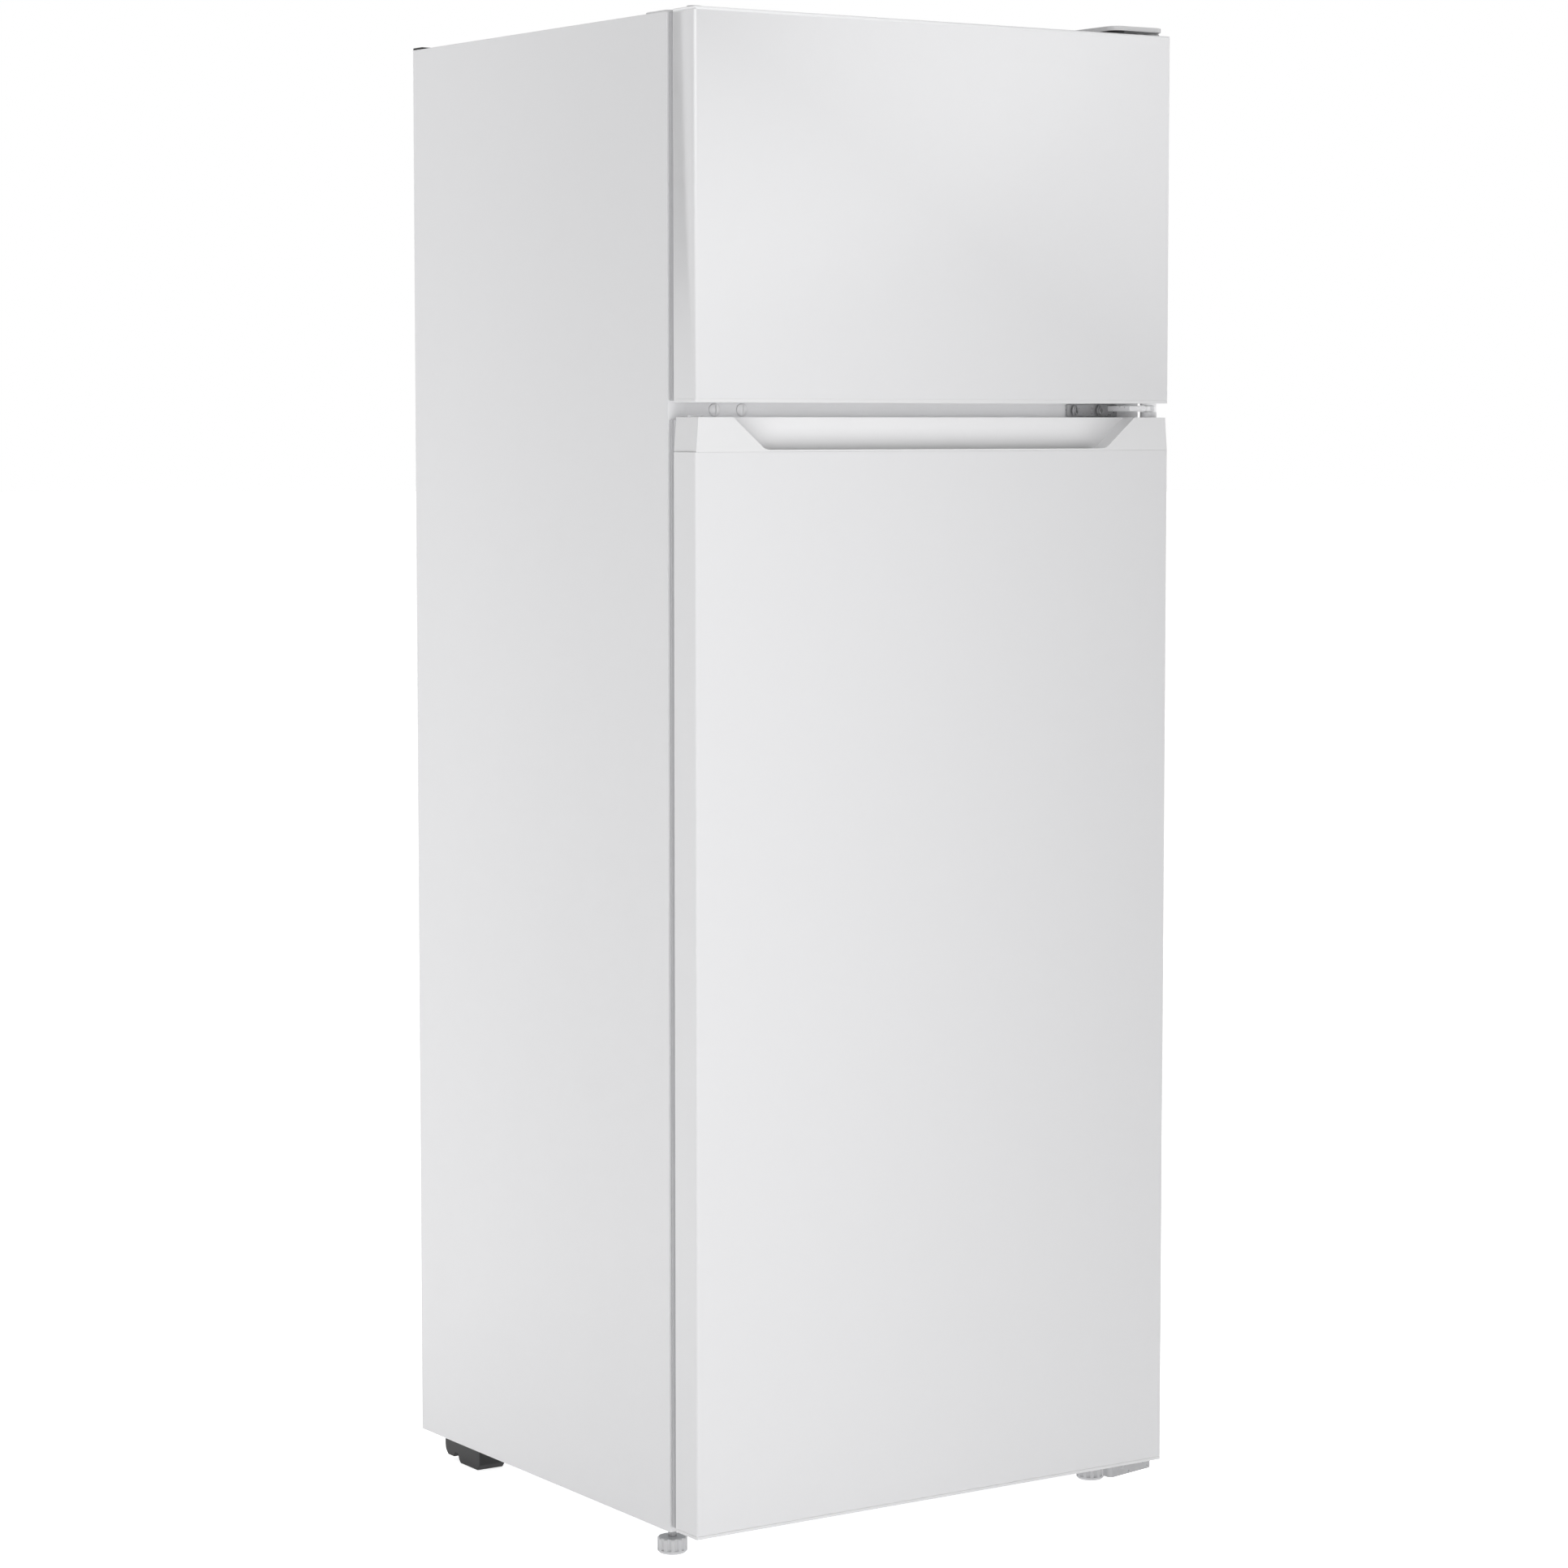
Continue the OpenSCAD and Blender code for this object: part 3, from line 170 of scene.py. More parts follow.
# %% Material helpers
def finish(name, colour, roughness, metallic=0.0, **constants):
    """A Principled material and its node tree, with the constants set on the shader itself."""
    made = bpy.data.materials.new(name)
    made.use_nodes = True
    shader = made.node_tree.nodes["Principled BSDF"]
    shader.inputs["Base Color"].default_value = (*colour, 1)
    shader.inputs["Roughness"].default_value = roughness
    shader.inputs["Metallic"].default_value = metallic
    for socket, value in constants.items():
        shader.inputs[socket.replace("_", " ")].default_value = value
    return made


def noise(made, scale, detail=2.0, stretch=(1, 1, 1)):
    """A noise on Object coordinates, stretched along an axis where the finish is brushed or rolled."""
    tree = made.node_tree
    place = tree.nodes.new("ShaderNodeTexCoord")
    turn = tree.nodes.new("ShaderNodeMapping")
    turn.inputs["Scale"].default_value = stretch
    speck = tree.nodes.new("ShaderNodeTexNoise")
    speck.inputs["Scale"].default_value = scale
    speck.inputs["Detail"].default_value = detail
    tree.links.new(place.outputs["Object"], turn.inputs["Vector"])
    tree.links.new(turn.outputs["Vector"], speck.inputs["Vector"])
    return speck.outputs["Fac"]


def ranged(made, source, low, high):
    """Maps a 0 to 1 pattern to a range."""
    node = made.node_tree.nodes.new("ShaderNodeMapRange")
    node.inputs["From Min"].default_value = 0.3
    node.inputs["From Max"].default_value = 0.7
    node.inputs["To Min"].default_value = low
    node.inputs["To Max"].default_value = high
    made.node_tree.links.new(source, node.inputs["Value"])
    return node.outputs["Result"]


def uneven(made, scale, low, high, detail=2.0, stretch=(1, 1, 1)):
    """Lets the roughness wander between two values."""
    source = ranged(made, noise(made, scale, detail, stretch), low, high)
    made.node_tree.links.new(source, made.node_tree.nodes["Principled BSDF"].inputs["Roughness"])
    return made


def grained(made, scale, depth, strength=1.0, detail=2.0, stretch=(1, 1, 1)):
    """Adds a bump of a given depth in metres to whatever normal the shader has."""
    tree = made.node_tree
    shader = tree.nodes["Principled BSDF"]
    bump = tree.nodes.new("ShaderNodeBump")
    bump.inputs["Distance"].default_value = depth
    bump.inputs["Strength"].default_value = strength
    tree.links.new(noise(made, scale, detail, stretch), bump.inputs["Height"])
    if shader.inputs["Normal"].links:
        tree.links.new(shader.inputs["Normal"].links[0].from_socket, bump.inputs["Normal"])
    tree.links.new(bump.outputs["Normal"], shader.inputs["Normal"])
    return made


# %% [markdown]
# ## The list of finishes
# Each entry is read from the inside out: a base colour and roughness, then, where the finish shows
# it, a roughness that wanders between two values, then a fine bump with a scale and a depth in
# metres. Clear plastic and shelf glass are thin walls, so Alpha lets the picture through them; the
# bulb alone refracts. The hinge arm has a second, lighter zinc, partly a brighter plating and partly
# a painted reflection of the bright front. The paper on the floor glows, and a little more towards
# the camera than towards the refrigerator, as a lit white sweep seems to do.

# %% All finishes
MATERIALS = {
    "painted_steel": grained(uneven(finish("painted_steel", (0.755, 0.755, 0.765), 0.34),
                                    90, 0.30, 0.38), 900, 0.00004),
    "white_plastic": grained(uneven(finish("white_plastic", (0.765, 0.765, 0.772), 0.38),
                                    60, 0.34, 0.44), 2600, 0.00003),
    "liner_plastic": grained(uneven(finish("liner_plastic", (0.84, 0.845, 0.85), 0.32),
                                    700, 0.31, 0.33), 900, 0.00001),
    "foot_plastic": grained(finish("foot_plastic", (0.69, 0.69, 0.7), 0.3), 1500, 0.00004),
    "grey_plastic": grained(finish("grey_plastic", (0.5, 0.5, 0.51), 0.45), 1500, 0.00004),
    "gasket": grained(uneven(finish("gasket", (0.55, 0.55, 0.565), 0.55), 120, 0.5, 0.65), 3000, 0.00008),
    # lighter zinc for the hinge arm: partly a brighter plating, partly a painted reflection of the bright
    # front
    "zinc_bright_with_painted_reflection": grained(uneven(finish("zinc_bright_with_painted_reflection", (0.86, 0.86, 0.87), 0.3, 0.25),
                                  260, 0.25, 0.4), 900, 0.00003),
    "zinc_steel": grained(uneven(finish("zinc_steel", (0.42, 0.42, 0.43), 0.35, 0.45),
                                 260, 0.25, 0.45), 1200, 0.00003),
    "galvanised": grained(uneven(finish("galvanised", (0.46, 0.47, 0.48), 0.5, 0.55),
                                 90, 0.45, 0.6), 900, 0.00001),
    "black_paint": grained(uneven(finish("black_paint", (0.02, 0.02, 0.021), 0.4),
                                  200, 0.3, 0.5), 700, 0.00006),
    "black_plastic": grained(finish("black_plastic", (0.025, 0.025, 0.026), 0.5), 1800, 0.00006),
    "black_rubber": grained(finish("black_rubber", (0.02, 0.02, 0.02), 0.75), 1200, 0.0001),
    "copper": grained(uneven(finish("copper", (0.72, 0.36, 0.22), 0.3, 1.0), 300, 0.22, 0.45), 900, 0.00003),
    "aluminium": grained(uneven(finish("aluminium", (0.75, 0.75, 0.76), 0.35, 1.0),
                                200, 0.28, 0.45), 900, 0.00003),
    "insulation": grained(finish("insulation", (0.8, 0.68, 0.4), 0.9), 500, 0.0006),
    "clear_plastic": grained(finish("clear_plastic", (0.9, 0.93, 0.94), 0.15, Alpha=0.38), 300, 0.00002),
    "frosted_plastic": grained(finish("frosted_plastic", (0.93, 0.94, 0.94), 0.4, Alpha=0.8), 800, 0.00006),
    "shelf_glass": grained(finish("shelf_glass", (0.78, 0.9, 0.87), 0.04, Alpha=0.3), 8, 0.00002),
    "bulb_glass": grained(finish("bulb_glass", (0.96, 0.95, 0.92), 0.12,
                                 Transmission_Weight=0.9, IOR=1.5), 30, 0.00002),
}
paper = finish("floor_paper", (0.9, 0.9, 0.9), 0.9, Emission_Color=(1, 1, 1, 1))
grained(uneven(paper, 3, 0.85, 0.95), 300, 0.0001)
floor.data.materials.append(paper)
glow = paper.node_tree.nodes.new("ShaderNodeLightPath")
lift = paper.node_tree.nodes.new("ShaderNodeMath")
lift.operation = "MULTIPLY_ADD"
EXTRA_GLOW = 0.3
BASE_GLOW = 0.5
lift.inputs[1].default_value = EXTRA_GLOW
lift.inputs[2].default_value = BASE_GLOW
paper.node_tree.links.new(glow.outputs["Is Camera Ray"], lift.inputs[0])
paper_shader = paper.node_tree.nodes["Principled BSDF"]
paper.node_tree.links.new(lift.outputs[0], paper_shader.inputs["Emission Strength"])
print(len(MATERIALS), "finishes")

# %% [markdown]
# ## Rounded edges
# No pressed, moulded or cut part has a mathematically sharp edge, and the thin highlight on a real
# edge is what the eye reads as solid. The exact solids are loose triangles, so a copy is merged,
# its flat triangles are dissolved into faces, and every edge sharper than 25 degrees gets a small
# bevel. Weighted normals then keep the broad faces flat.

# %% Rounding helper
ROUNDED_OVER = math.radians(25)
SAME_POINT = 2e-6
SAME_PLANE = math.radians(0.3)


def settled(holder):
    """Replaces an object's modifiers by the mesh they make."""
    graph = bpy.context.evaluated_depsgraph_get()
    plain = bpy.data.meshes.new_from_object(holder.evaluated_get(graph))
    holder.modifiers.clear()
    holder.data = plain
    return holder


def placed(name, mesh, slot):
    """An object at the origin for a mesh, with the finish of its slot."""
    made = bpy.data.objects.new(name, mesh)
    bpy.context.scene.collection.objects.link(made)
    made.data.materials.clear()
    made.data.materials.append(MATERIALS[slot])
    return made


def kept(made, node=None, body=None):
    """Two facts of a piece: the body it rides on, and the solid it stands for, which is hidden."""
    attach(made, body or frame["nodes"][node]["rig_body"])
    if node:
        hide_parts(node)
    return made


def merged(node):
    """A copy of a solid as a bmesh, its loose triangles joined and its flat ones dissolved."""
    work = bmesh.new()
    work.from_mesh(frame["nodes"][node].data)
    bmesh.ops.remove_doubles(work, verts=work.verts, dist=SAME_POINT)
    bmesh.ops.dissolve_limit(work, angle_limit=SAME_PLANE, verts=work.verts, edges=work.edges)
    return work


def rounded(name, work, width, slot, node, segments=2, sharp=None):
    """Bevels the sharper edges, except those whose middle `sharp` picks, and keeps the piece."""
    marks = work.edges.layers.float.new("bevel_weight_edge")
    for edge in work.edges:
        middle = (edge.verts[0].co + edge.verts[1].co) / 2
        if edge.calc_face_angle(0) > ROUNDED_OVER and not (sharp and sharp(middle)):
            edge[marks] = 1
    mesh = bpy.data.meshes.new(name)
    work.to_mesh(mesh)
    work.free()
    made = placed(name, mesh, slot)
    made.data.shade_smooth()
    bevel = made.modifiers.new("edge", "BEVEL")
    bevel.width = width
    bevel.segments = segments
    bevel.limit_method = "WEIGHT"
    weigh = made.modifiers.new("flat", "WEIGHTED_NORMAL")
    weigh.keep_sharp = True
    made = settled(made)
    made.data.set_sharp_from_angle(angle=math.radians(50))
    return kept(made, node=node)


def softened(node, width, slot, segments=2, sharp=None):
    """A whole solid with rounded edges."""
    return rounded("soft_" + node, merged(node), width, slot, node, segments, sharp)


def level(height):
    """Picks the edges that lie at one height, such as the flush joint of two parts."""
    return lambda middle: abs(middle.z - height) < 0.2 * MM


# %% [markdown]
# ## Most pieces in one list
# Sheet metal has a small edge and most mouldings a wider one. Tubes, the drier and the bulb get
# none, because their solids are round already. Each entry gives the width in millimetres and the
# finish.

# %% Rounded pieces
ROUNDED = {
    "side_panel_left": (0.3, "painted_steel"), "side_panel_right": (0.3, "painted_steel"),
    "top_panel": (0.3, "painted_steel"), "back_panel": (0.2, "galvanised"),
    "base_pan": (0.2, "galvanised"), "compressor_deck": (0.2, "galvanised"),
    "freezer_foam": (0.5, "insulation"), "fridge_foam": (0.5, "insulation"),
    "freezer_liner": (0.4, "liner_plastic"),
    "fridge_liner": (0.4, "liner_plastic"), "mid_rail": (0.3, "painted_steel"),
    "rail_plugs": (0.2, "white_plastic"), "top_hinge": (0.3, "zinc_steel"),
    "top_hinge_cover": (0.5, "white_plastic"),
    "top_corner_cover": (0.4, "white_plastic"), "rear_top_trim": (0.5, "black_plastic"),
    "compressor_rail": (0.3, "galvanised"), "rear_feet": (1.0, "black_plastic"),
    "compressor": (0.5, "black_paint"), "compressor_grommets": (0.5, "black_rubber"),
    "relay_cover": (1.0, "black_plastic"), "drip_tray": (0.5, "black_plastic"),
    "condenser_brackets": (0.4, "black_paint"), "filter_drier": (0.0, "copper"),
    "copper_lines": (0.0, "copper"), "cord_gland": (0.4, "black_plastic"),
    "evaporator": (0.2, "aluminium"), "drain_tube": (0.0, "grey_plastic"),
    "control_box": (0.8, "white_plastic"), "lamp_cover": (0.6, "frosted_plastic"),
    "lamp_bulb": (0.0, "bulb_glass"), "glass_shelves": (0.6, "shelf_glass"),
    "crisper_cover": (0.6, "shelf_glass"), "shelf_trims": (0.6, "white_plastic"),
    "thermostat_knob": (0.5, "white_plastic"), "crisper_drawer": (0.5, "clear_plastic"),
    "freezer_door_foam": (0.3, "insulation"), "freezer_door_liner": (0.4, "liner_plastic"),
    "freezer_door_bottom_cap": (0.4, "white_plastic"), "freezer_door_racks": (0.5, "clear_plastic"),
    "freezer_door_plug": (0.3, "white_plastic"), "fridge_door_foam": (0.3, "insulation"),
    "fridge_door_liner": (0.4, "liner_plastic"), "fridge_door_bottom_cap": (0.4, "white_plastic"),
    "fridge_door_racks": (0.5, "clear_plastic"), "bottle_rack": (0.5, "clear_plastic"),
    "fridge_door_plug": (0.3, "white_plastic"),
}
for node, (width, slot) in ROUNDED.items():
    softened(node, width * MM, slot)
print(len(ROUNDED), "pieces with rounded edges")

# %% [markdown]
# ## Door skins and their caps
# A door is one folded sheet with a plastic cap pushed into each end. The top cap sits flush and is
# painted with the door, so its joint closes up and only the top corner is round. Below, the handle
# trim is a separate moulding: both it and the sheet turn in at their joint, which leaves a fine
# shadow line. The edges at a flush joint are therefore kept sharp, and those at the trim are wide.

# %% Doors
joint_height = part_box("freezer_door_skin")[1][2]
softened("freezer_door_top_cap", 0.9 * MM, "painted_steel", 3, level(joint_height))
softened("freezer_door_skin", 0.3 * MM, "painted_steel", 2, level(joint_height))
softened("fridge_door_skin", 0.45 * MM, "painted_steel")
softened("handle_trim", 0.7 * MM, "white_plastic", 3)
print("door skins, cap and trim")

# %% [markdown]
# ## The hinge between the doors
# The hinge is a screwed plate with an arm that carries the pin for both doors. The plate is dull
# zinc, while the arm gets a lighter zinc, partly a brighter plating and partly a painted reflection
# of the bright front. The solid is cut just in front of the plate, so that each half can have its
# own finish.

# %% Middle hinge
def sliced(node, place, normal):
    """The part of a solid that lies behind a plane, closed again."""
    work = merged(node)
    cut = bmesh.ops.bisect_plane(work, geom=work.verts[:] + work.edges[:] + work.faces[:],
                                 plane_co=place, plane_no=normal, clear_outer=True)
    rim = [g for g in cut["geom_cut"] if isinstance(g, bmesh.types.BMEdge)]
    bmesh.ops.holes_fill(work, edges=rim)
    bmesh.ops.recalc_face_normals(work, faces=work.faces)
    return work


PLATE_CUT = 3.05 * MM
plate_front = (0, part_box("mid_hinge")[1][1] - PLATE_CUT, 0)
plate = sliced("mid_hinge", plate_front, (0, -1, 0))
rounded("hinge_plate", plate, 0.3 * MM, "zinc_steel", "mid_hinge")
arm = sliced("mid_hinge", plate_front, (0, 1, 0))
# the arm's lighter zinc carries a painted reflection as well as its plating
rounded("hinge_arm", arm, 0.5 * MM, "zinc_bright_with_painted_reflection", "mid_hinge")
print("hinge plate and arm")

# %% [markdown]
# ## Bottom hinge and levelling feet
# The lower bracket is pressed thinner towards its outer end, so its underside rises there. Each foot
# is a fluted moulding on a zinc stud: one solid in the drawing, two finishes here, parted at the
# shoulder where the stud leaves the moulding.

# %% Bottom hinge and feet
UNDERSIDE = 2 * MM
RISE = 4 * MM
SHOULDER = 15.05 * MM
work = merged("bottom_hinge")
hinge_low, hinge_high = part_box("bottom_hinge")
for vert in work.verts:
    if vert.co.z < hinge_low[2] + UNDERSIDE:
        outward = min(max((vert.co.x - hinge_low[0]) / (hinge_high[0] - hinge_low[0]), 0), 1)
        vert.co.z += RISE * outward ** 2
rounded("bottom_bracket", work, 0.4 * MM, "zinc_steel", "bottom_hinge")
for foot in ("foot_left", "foot_right"):
    shoulder = (0, 0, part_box(foot)[0][2] + SHOULDER)
    rounded(foot + "_moulding", sliced(foot, shoulder, (0, 0, 1)), 0.6 * MM, "foot_plastic", foot, 3)
    rounded(foot + "_stud", sliced(foot, shoulder, (0, 0, -1)), 0.3 * MM, "zinc_steel", foot)
print("bracket and feet")

# %% [markdown]
# ## Door gaskets
# The seal is a soft extrusion: a dart that snaps into the door, two folds of bellows and a hollow
# head with a magnet strip. Four lengths are cut at 45 degrees and welded, so each corner shows a
# mitre. One outline is carried round the four corners of a rectangle, which gives that mitre by
# itself. On the hinge side the head is narrower, because it folds there.

# %% Gaskets
def framed(name, outline, low, high, slot, node):
    """Carries an outline of (inset, inset on the hinge side, depth) round a door's edge."""
    work = bmesh.new()
    rings = []
    for inset, hinge_inset, depth in outline:
        left, right = low[0] + inset * MM, high[0] - hinge_inset * MM
        bottom, top = low[2] + inset * MM, high[2] - inset * MM
        y = low[1] + depth * MM
        rings.append([work.verts.new(p) for p in
                      ((left, y, bottom), (right, y, bottom), (right, y, top), (left, y, top))])
    for here, there in zip(rings, rings[1:] + rings[:1]):
        for i in range(4):
            work.faces.new((here[i], here[(i + 1) % 4], there[(i + 1) % 4], there[i]))
    bmesh.ops.recalc_face_normals(work, faces=work.faces)
    for i in range(4):
        for here, there in zip(rings, rings[1:]):
            edge = work.edges.get((here[i], there[i]))
            edge.smooth = False
    mesh = bpy.data.meshes.new(name)
    work.to_mesh(mesh)
    work.free()
    return kept(placed(name, mesh, slot), node=node)


SEAL = [(0.5, 0.5, 0), (0, 0, 0.5), (0, 0, 1.4), (1.5, 1.5, 2.0), (1.7, 1.7, 2.5), (1.5, 1.5, 3.0),
        (0.1, 0.1, 3.5), (0.0, 0.0, 4.1), (0.4, 0.4, 4.6), (2.0, 11.2, 4.9), (2.2, 11.4, 5.3),
        (0.7, 10.3, 5.8), (0, 9.6, 6.5), (0, 9.6, 8.0), (0.6, 10.2, 8.6), (9, 14, 8.7), (13, 16, 8.4),
        (17, 17, 7.0), (18.6, 18.6, 5.2), (19.6, 19.6, 4.2), (18.2, 18.2, 3.2), (19.6, 19.6, 2.2),
        (19.6, 19.6, 0.4), (19, 19, 0)]
for door in ("freezer_door", "fridge_door"):
    seal_low, seal_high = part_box(door + "_gasket")
    framed(door + "_seal", SEAL, seal_low, seal_high, "gasket", door + "_gasket")
print("two gaskets with", len(SEAL), "edges in their outline")

# %% [markdown]
# ## Growing what repeats
# Wires, screws and ribs follow a rule: a number of them, a pitch and one shape. Geometry Nodes
# states such a rule directly. Each tree below has named inputs, ends by making its instances real,
# and is turned into a plain mesh before it is handed over.

# %% Geometry Nodes helpers
def new_tree(name, **inputs):
    """A tree with named inputs of the given defaults and one geometry output; returns its wiring."""
    tree = bpy.data.node_groups.new(name, "GeometryNodeTree")
    tree.interface.new_socket("Geometry", in_out="OUTPUT", socket_type="NodeSocketGeometry")
    tree.interface.new_socket("Geometry", in_out="INPUT", socket_type="NodeSocketGeometry")
    for label, value in inputs.items():
        kind = {int: "NodeSocketInt", float: "NodeSocketFloat", tuple: "NodeSocketVector"}[type(value)]
        tree.interface.new_socket(label, in_out="INPUT", socket_type=kind).default_value = value
    return tree, tree.nodes.new("NodeGroupInput").outputs


def add(tree, kind, settings=None, **inputs):
    """A node with its settings, and its inputs either wired to a socket or set to a value."""
    made = tree.nodes.new(kind)
    for name, value in (settings or {}).items():
        setattr(made, name, value)
    for name, value in inputs.items():
        socket = made.inputs[int(name[1:]) if name[0] == "_" else name.replace("_", " ")]
        if isinstance(value, bpy.types.NodeSocket):
            tree.links.new(value, socket)
        else:
            socket.default_value = value
    return made.outputs[0]


def maths(tree, operation, first, second=0.0):
    """One step of arithmetic."""
    return add(tree, "ShaderNodeMath", {"operation": operation}, _0=first, _1=second)


def finished(tree, shape, slot):
    """Ends a tree: instances made real and one material."""
    shape = add(tree, "GeometryNodeRealizeInstances", Geometry=shape)
    shape = add(tree, "GeometryNodeSetMaterial", Geometry=shape, Material=MATERIALS[slot])
    tree.links.new(shape, tree.nodes.new("NodeGroupOutput").inputs[0])
    return tree


def grown(name, tree, slot, node=None, body=None, points=(), **values):
    """A plain mesh grown by a tree from named values, kept as a piece."""
    seeds = bpy.data.meshes.new(name)
    seeds.from_pydata([tuple(p) for p in points], [], [])
    holder = placed(name, seeds, slot)
    modifier = holder.modifiers.new("grow", "NODES")
    modifier.node_group = tree
    for item in tree.interface.items_tree:
        if item.in_out == "INPUT" and item.name in values:
            modifier[item.identifier] = values[item.name]
    made = settled(holder)
    made.data.materials.clear()
    made.data.materials.append(MATERIALS[slot])
    made.data.shade_smooth()
    made.data.set_sharp_from_angle(angle=math.radians(40))
    print(name, len(made.data.polygons), "faces")
    return kept(made, node=node, body=body)


# %% [markdown]
# ## Wires in rows
# The condenser's cooling wires and the freezer shelf's grid are drawn steel wire, cut to length and
# welded across. One tree lays a row of them: a straight wire swept with a round section, copied
# along a line of points.

# %% Condenser wires and freezer shelf
row, given = new_tree("wire_row", Wires=10, Pitch=0.01, Radius=0.001,
                      Start=(0.0, 0.0, 0.0), Run=(0.0, 0.0, 1.0))
step = add(row, "ShaderNodeCombineXYZ", X=given["Pitch"])
spots = add(row, "GeometryNodeMeshLine", Count=given["Wires"], Start_Location=given["Start"], Offset=step)
wire = add(row, "GeometryNodeCurvePrimitiveLine", End=given["Run"])
section = add(row, "GeometryNodeCurvePrimitiveCircle", Resolution=10, Radius=given["Radius"])
wire = add(row, "GeometryNodeCurveToMesh", Curve=wire, Profile_Curve=section, Fill_Caps=True)
finished(row, add(row, "GeometryNodeInstanceOnPoints", Points=spots, Instance=wire), "black_paint")

wires_low, wires_high = (Vector(v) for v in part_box("condenser_wires"))
wire_r, wire_pitch = 0.75 * MM, 13 * MM
one_row = round((wires_high.x - wires_low.x - 2 * wire_r - wire_pitch / 2) / wire_pitch) + 1
for side, name in ((0, "condenser_wires_front"), (1, "condenser_wires_back")):
    start = (wires_low.x + wire_r + side * wire_pitch / 2,
             wires_high.y - wire_r if side else wires_low.y + wire_r, wires_low.z)
    grown(name, row, "black_paint", "condenser_wires", Wires=one_row, Pitch=wire_pitch, Radius=wire_r,
          Start=start, Run=(0, 0, wires_high.z - wires_low.z))

shelf_low, shelf_high = (Vector(v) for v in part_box("freezer_shelf"))
grid_r, frame_r, grid_pitch = 1.4 * MM, 2.5 * MM, 17 * MM
grid_margin = 12 * MM
each_side = int((shelf_high.x - grid_margin) / grid_pitch)
grown("shelf_grid", row, "white_plastic", "freezer_shelf", Wires=2 * each_side + 1, Pitch=grid_pitch,
      Radius=grid_r, Start=(-each_side * grid_pitch, shelf_low.y + frame_r, shelf_high.z - grid_r),
      Run=(0, shelf_high.y - shelf_low.y - 2 * frame_r, 0))

# %% [markdown]
# ## The frame bars of the freezer shelf
# Three thicker bars carry the grid and rest on the ribs of the liner.

# %% Shelf bars
bars, given = new_tree("bars", Bars=3, Gap=0.1, Radius=0.0025,
                       Start=(0.0, 0.0, 0.0), Run=(1.0, 0.0, 0.0))
step = add(bars, "ShaderNodeCombineXYZ", Y=given["Gap"])
spots = add(bars, "GeometryNodeMeshLine", Count=given["Bars"], Start_Location=given["Start"], Offset=step)
bar = add(bars, "GeometryNodeCurvePrimitiveLine", End=given["Run"])
section = add(bars, "GeometryNodeCurvePrimitiveCircle", Resolution=16, Radius=given["Radius"])
bar = add(bars, "GeometryNodeCurveToMesh", Curve=bar, Profile_Curve=section, Fill_Caps=True)
finished(bars, add(bars, "GeometryNodeInstanceOnPoints", Points=spots, Instance=bar), "white_plastic")
bar_gap = (shelf_high.y - shelf_low.y - 2 * frame_r) / 2
grown("shelf_bars", bars, "white_plastic", "freezer_shelf", Bars=3, Gap=bar_gap, Radius=frame_r,
      Start=(shelf_low.x, shelf_low.y + frame_r, shelf_low.z + frame_r),
      Run=(shelf_high.x - shelf_low.x, 0, 0))

# %% [markdown]
# ## The condenser tube
# One steel tube runs up the back in a serpentine: straight runs joined by half circles that
# alternate between the two sides. Because the rule is arithmetic, each point of its centre line is
# worked out from its own index: which bend it is on, how far round, and on which side.

# %% Serpentine
BEND_POINTS = 9
tube, given = new_tree("serpentine", Bends=10, Pitch=0.05, Reach=0.15, Radius=0.0024,
                       Start=(0.0, 0.0, 0.0))
index = maths(tube, "SUBTRACT", add(tube, "GeometryNodeInputIndex"), 1)
last_bend = maths(tube, "SUBTRACT", given["Bends"], 1)
bend = maths(tube, "FLOOR", maths(tube, "DIVIDE", index, BEND_POINTS))
bend = maths(tube, "MINIMUM", maths(tube, "MAXIMUM", bend, 0), last_bend)
within = maths(tube, "SUBTRACT", index, maths(tube, "MULTIPLY", bend, BEND_POINTS))
held = maths(tube, "MINIMUM", maths(tube, "MAXIMUM", within, 0), BEND_POINTS - 1)
share = maths(tube, "DIVIDE", held, BEND_POINTS - 1)
angle = maths(tube, "MULTIPLY", maths(tube, "SUBTRACT", share, 0.5), math.pi)
side = maths(tube, "SUBTRACT", 1, maths(tube, "MULTIPLY", maths(tube, "MODULO", bend, 2), 2))
bend_r = maths(tube, "MULTIPLY", given["Pitch"], 0.5)
out = maths(tube, "ADD", given["Reach"], maths(tube, "MULTIPLY", bend_r, maths(tube, "COSINE", angle)))
is_end = maths(tube, "GREATER_THAN", maths(tube, "ABSOLUTE", maths(tube, "SUBTRACT", within, held)), 0.5)
turned = maths(tube, "MULTIPLY", side, maths(tube, "SUBTRACT", 1, maths(tube, "MULTIPLY", is_end, 2)))
reach = maths(tube, "ADD", maths(tube, "MULTIPLY", out, maths(tube, "SUBTRACT", 1, is_end)),
              maths(tube, "MULTIPLY", given["Reach"], is_end))
rise = maths(tube, "ADD", maths(tube, "MULTIPLY", maths(tube, "ADD", bend, 0.5), given["Pitch"]),
             maths(tube, "MULTIPLY", bend_r, maths(tube, "SINE", angle)))
place = add(tube, "ShaderNodeCombineXYZ", X=maths(tube, "MULTIPLY", turned, reach), Z=rise)
place = add(tube, "ShaderNodeVectorMath", {"operation": "ADD"}, _0=place, _1=given["Start"])
count = maths(tube, "ADD", maths(tube, "MULTIPLY", given["Bends"], BEND_POINTS), 2)
line = add(tube, "GeometryNodeMeshLine", Count=count)
line = add(tube, "GeometryNodeSetPosition", Geometry=line, Position=place)
path = add(tube, "GeometryNodeMeshToCurve", Mesh=line)
section = add(tube, "GeometryNodeCurvePrimitiveCircle", Resolution=16, Radius=given["Radius"])
swept = add(tube, "GeometryNodeCurveToMesh", Curve=path, Profile_Curve=section, Fill_Caps=True)
finished(tube, swept, "black_paint")

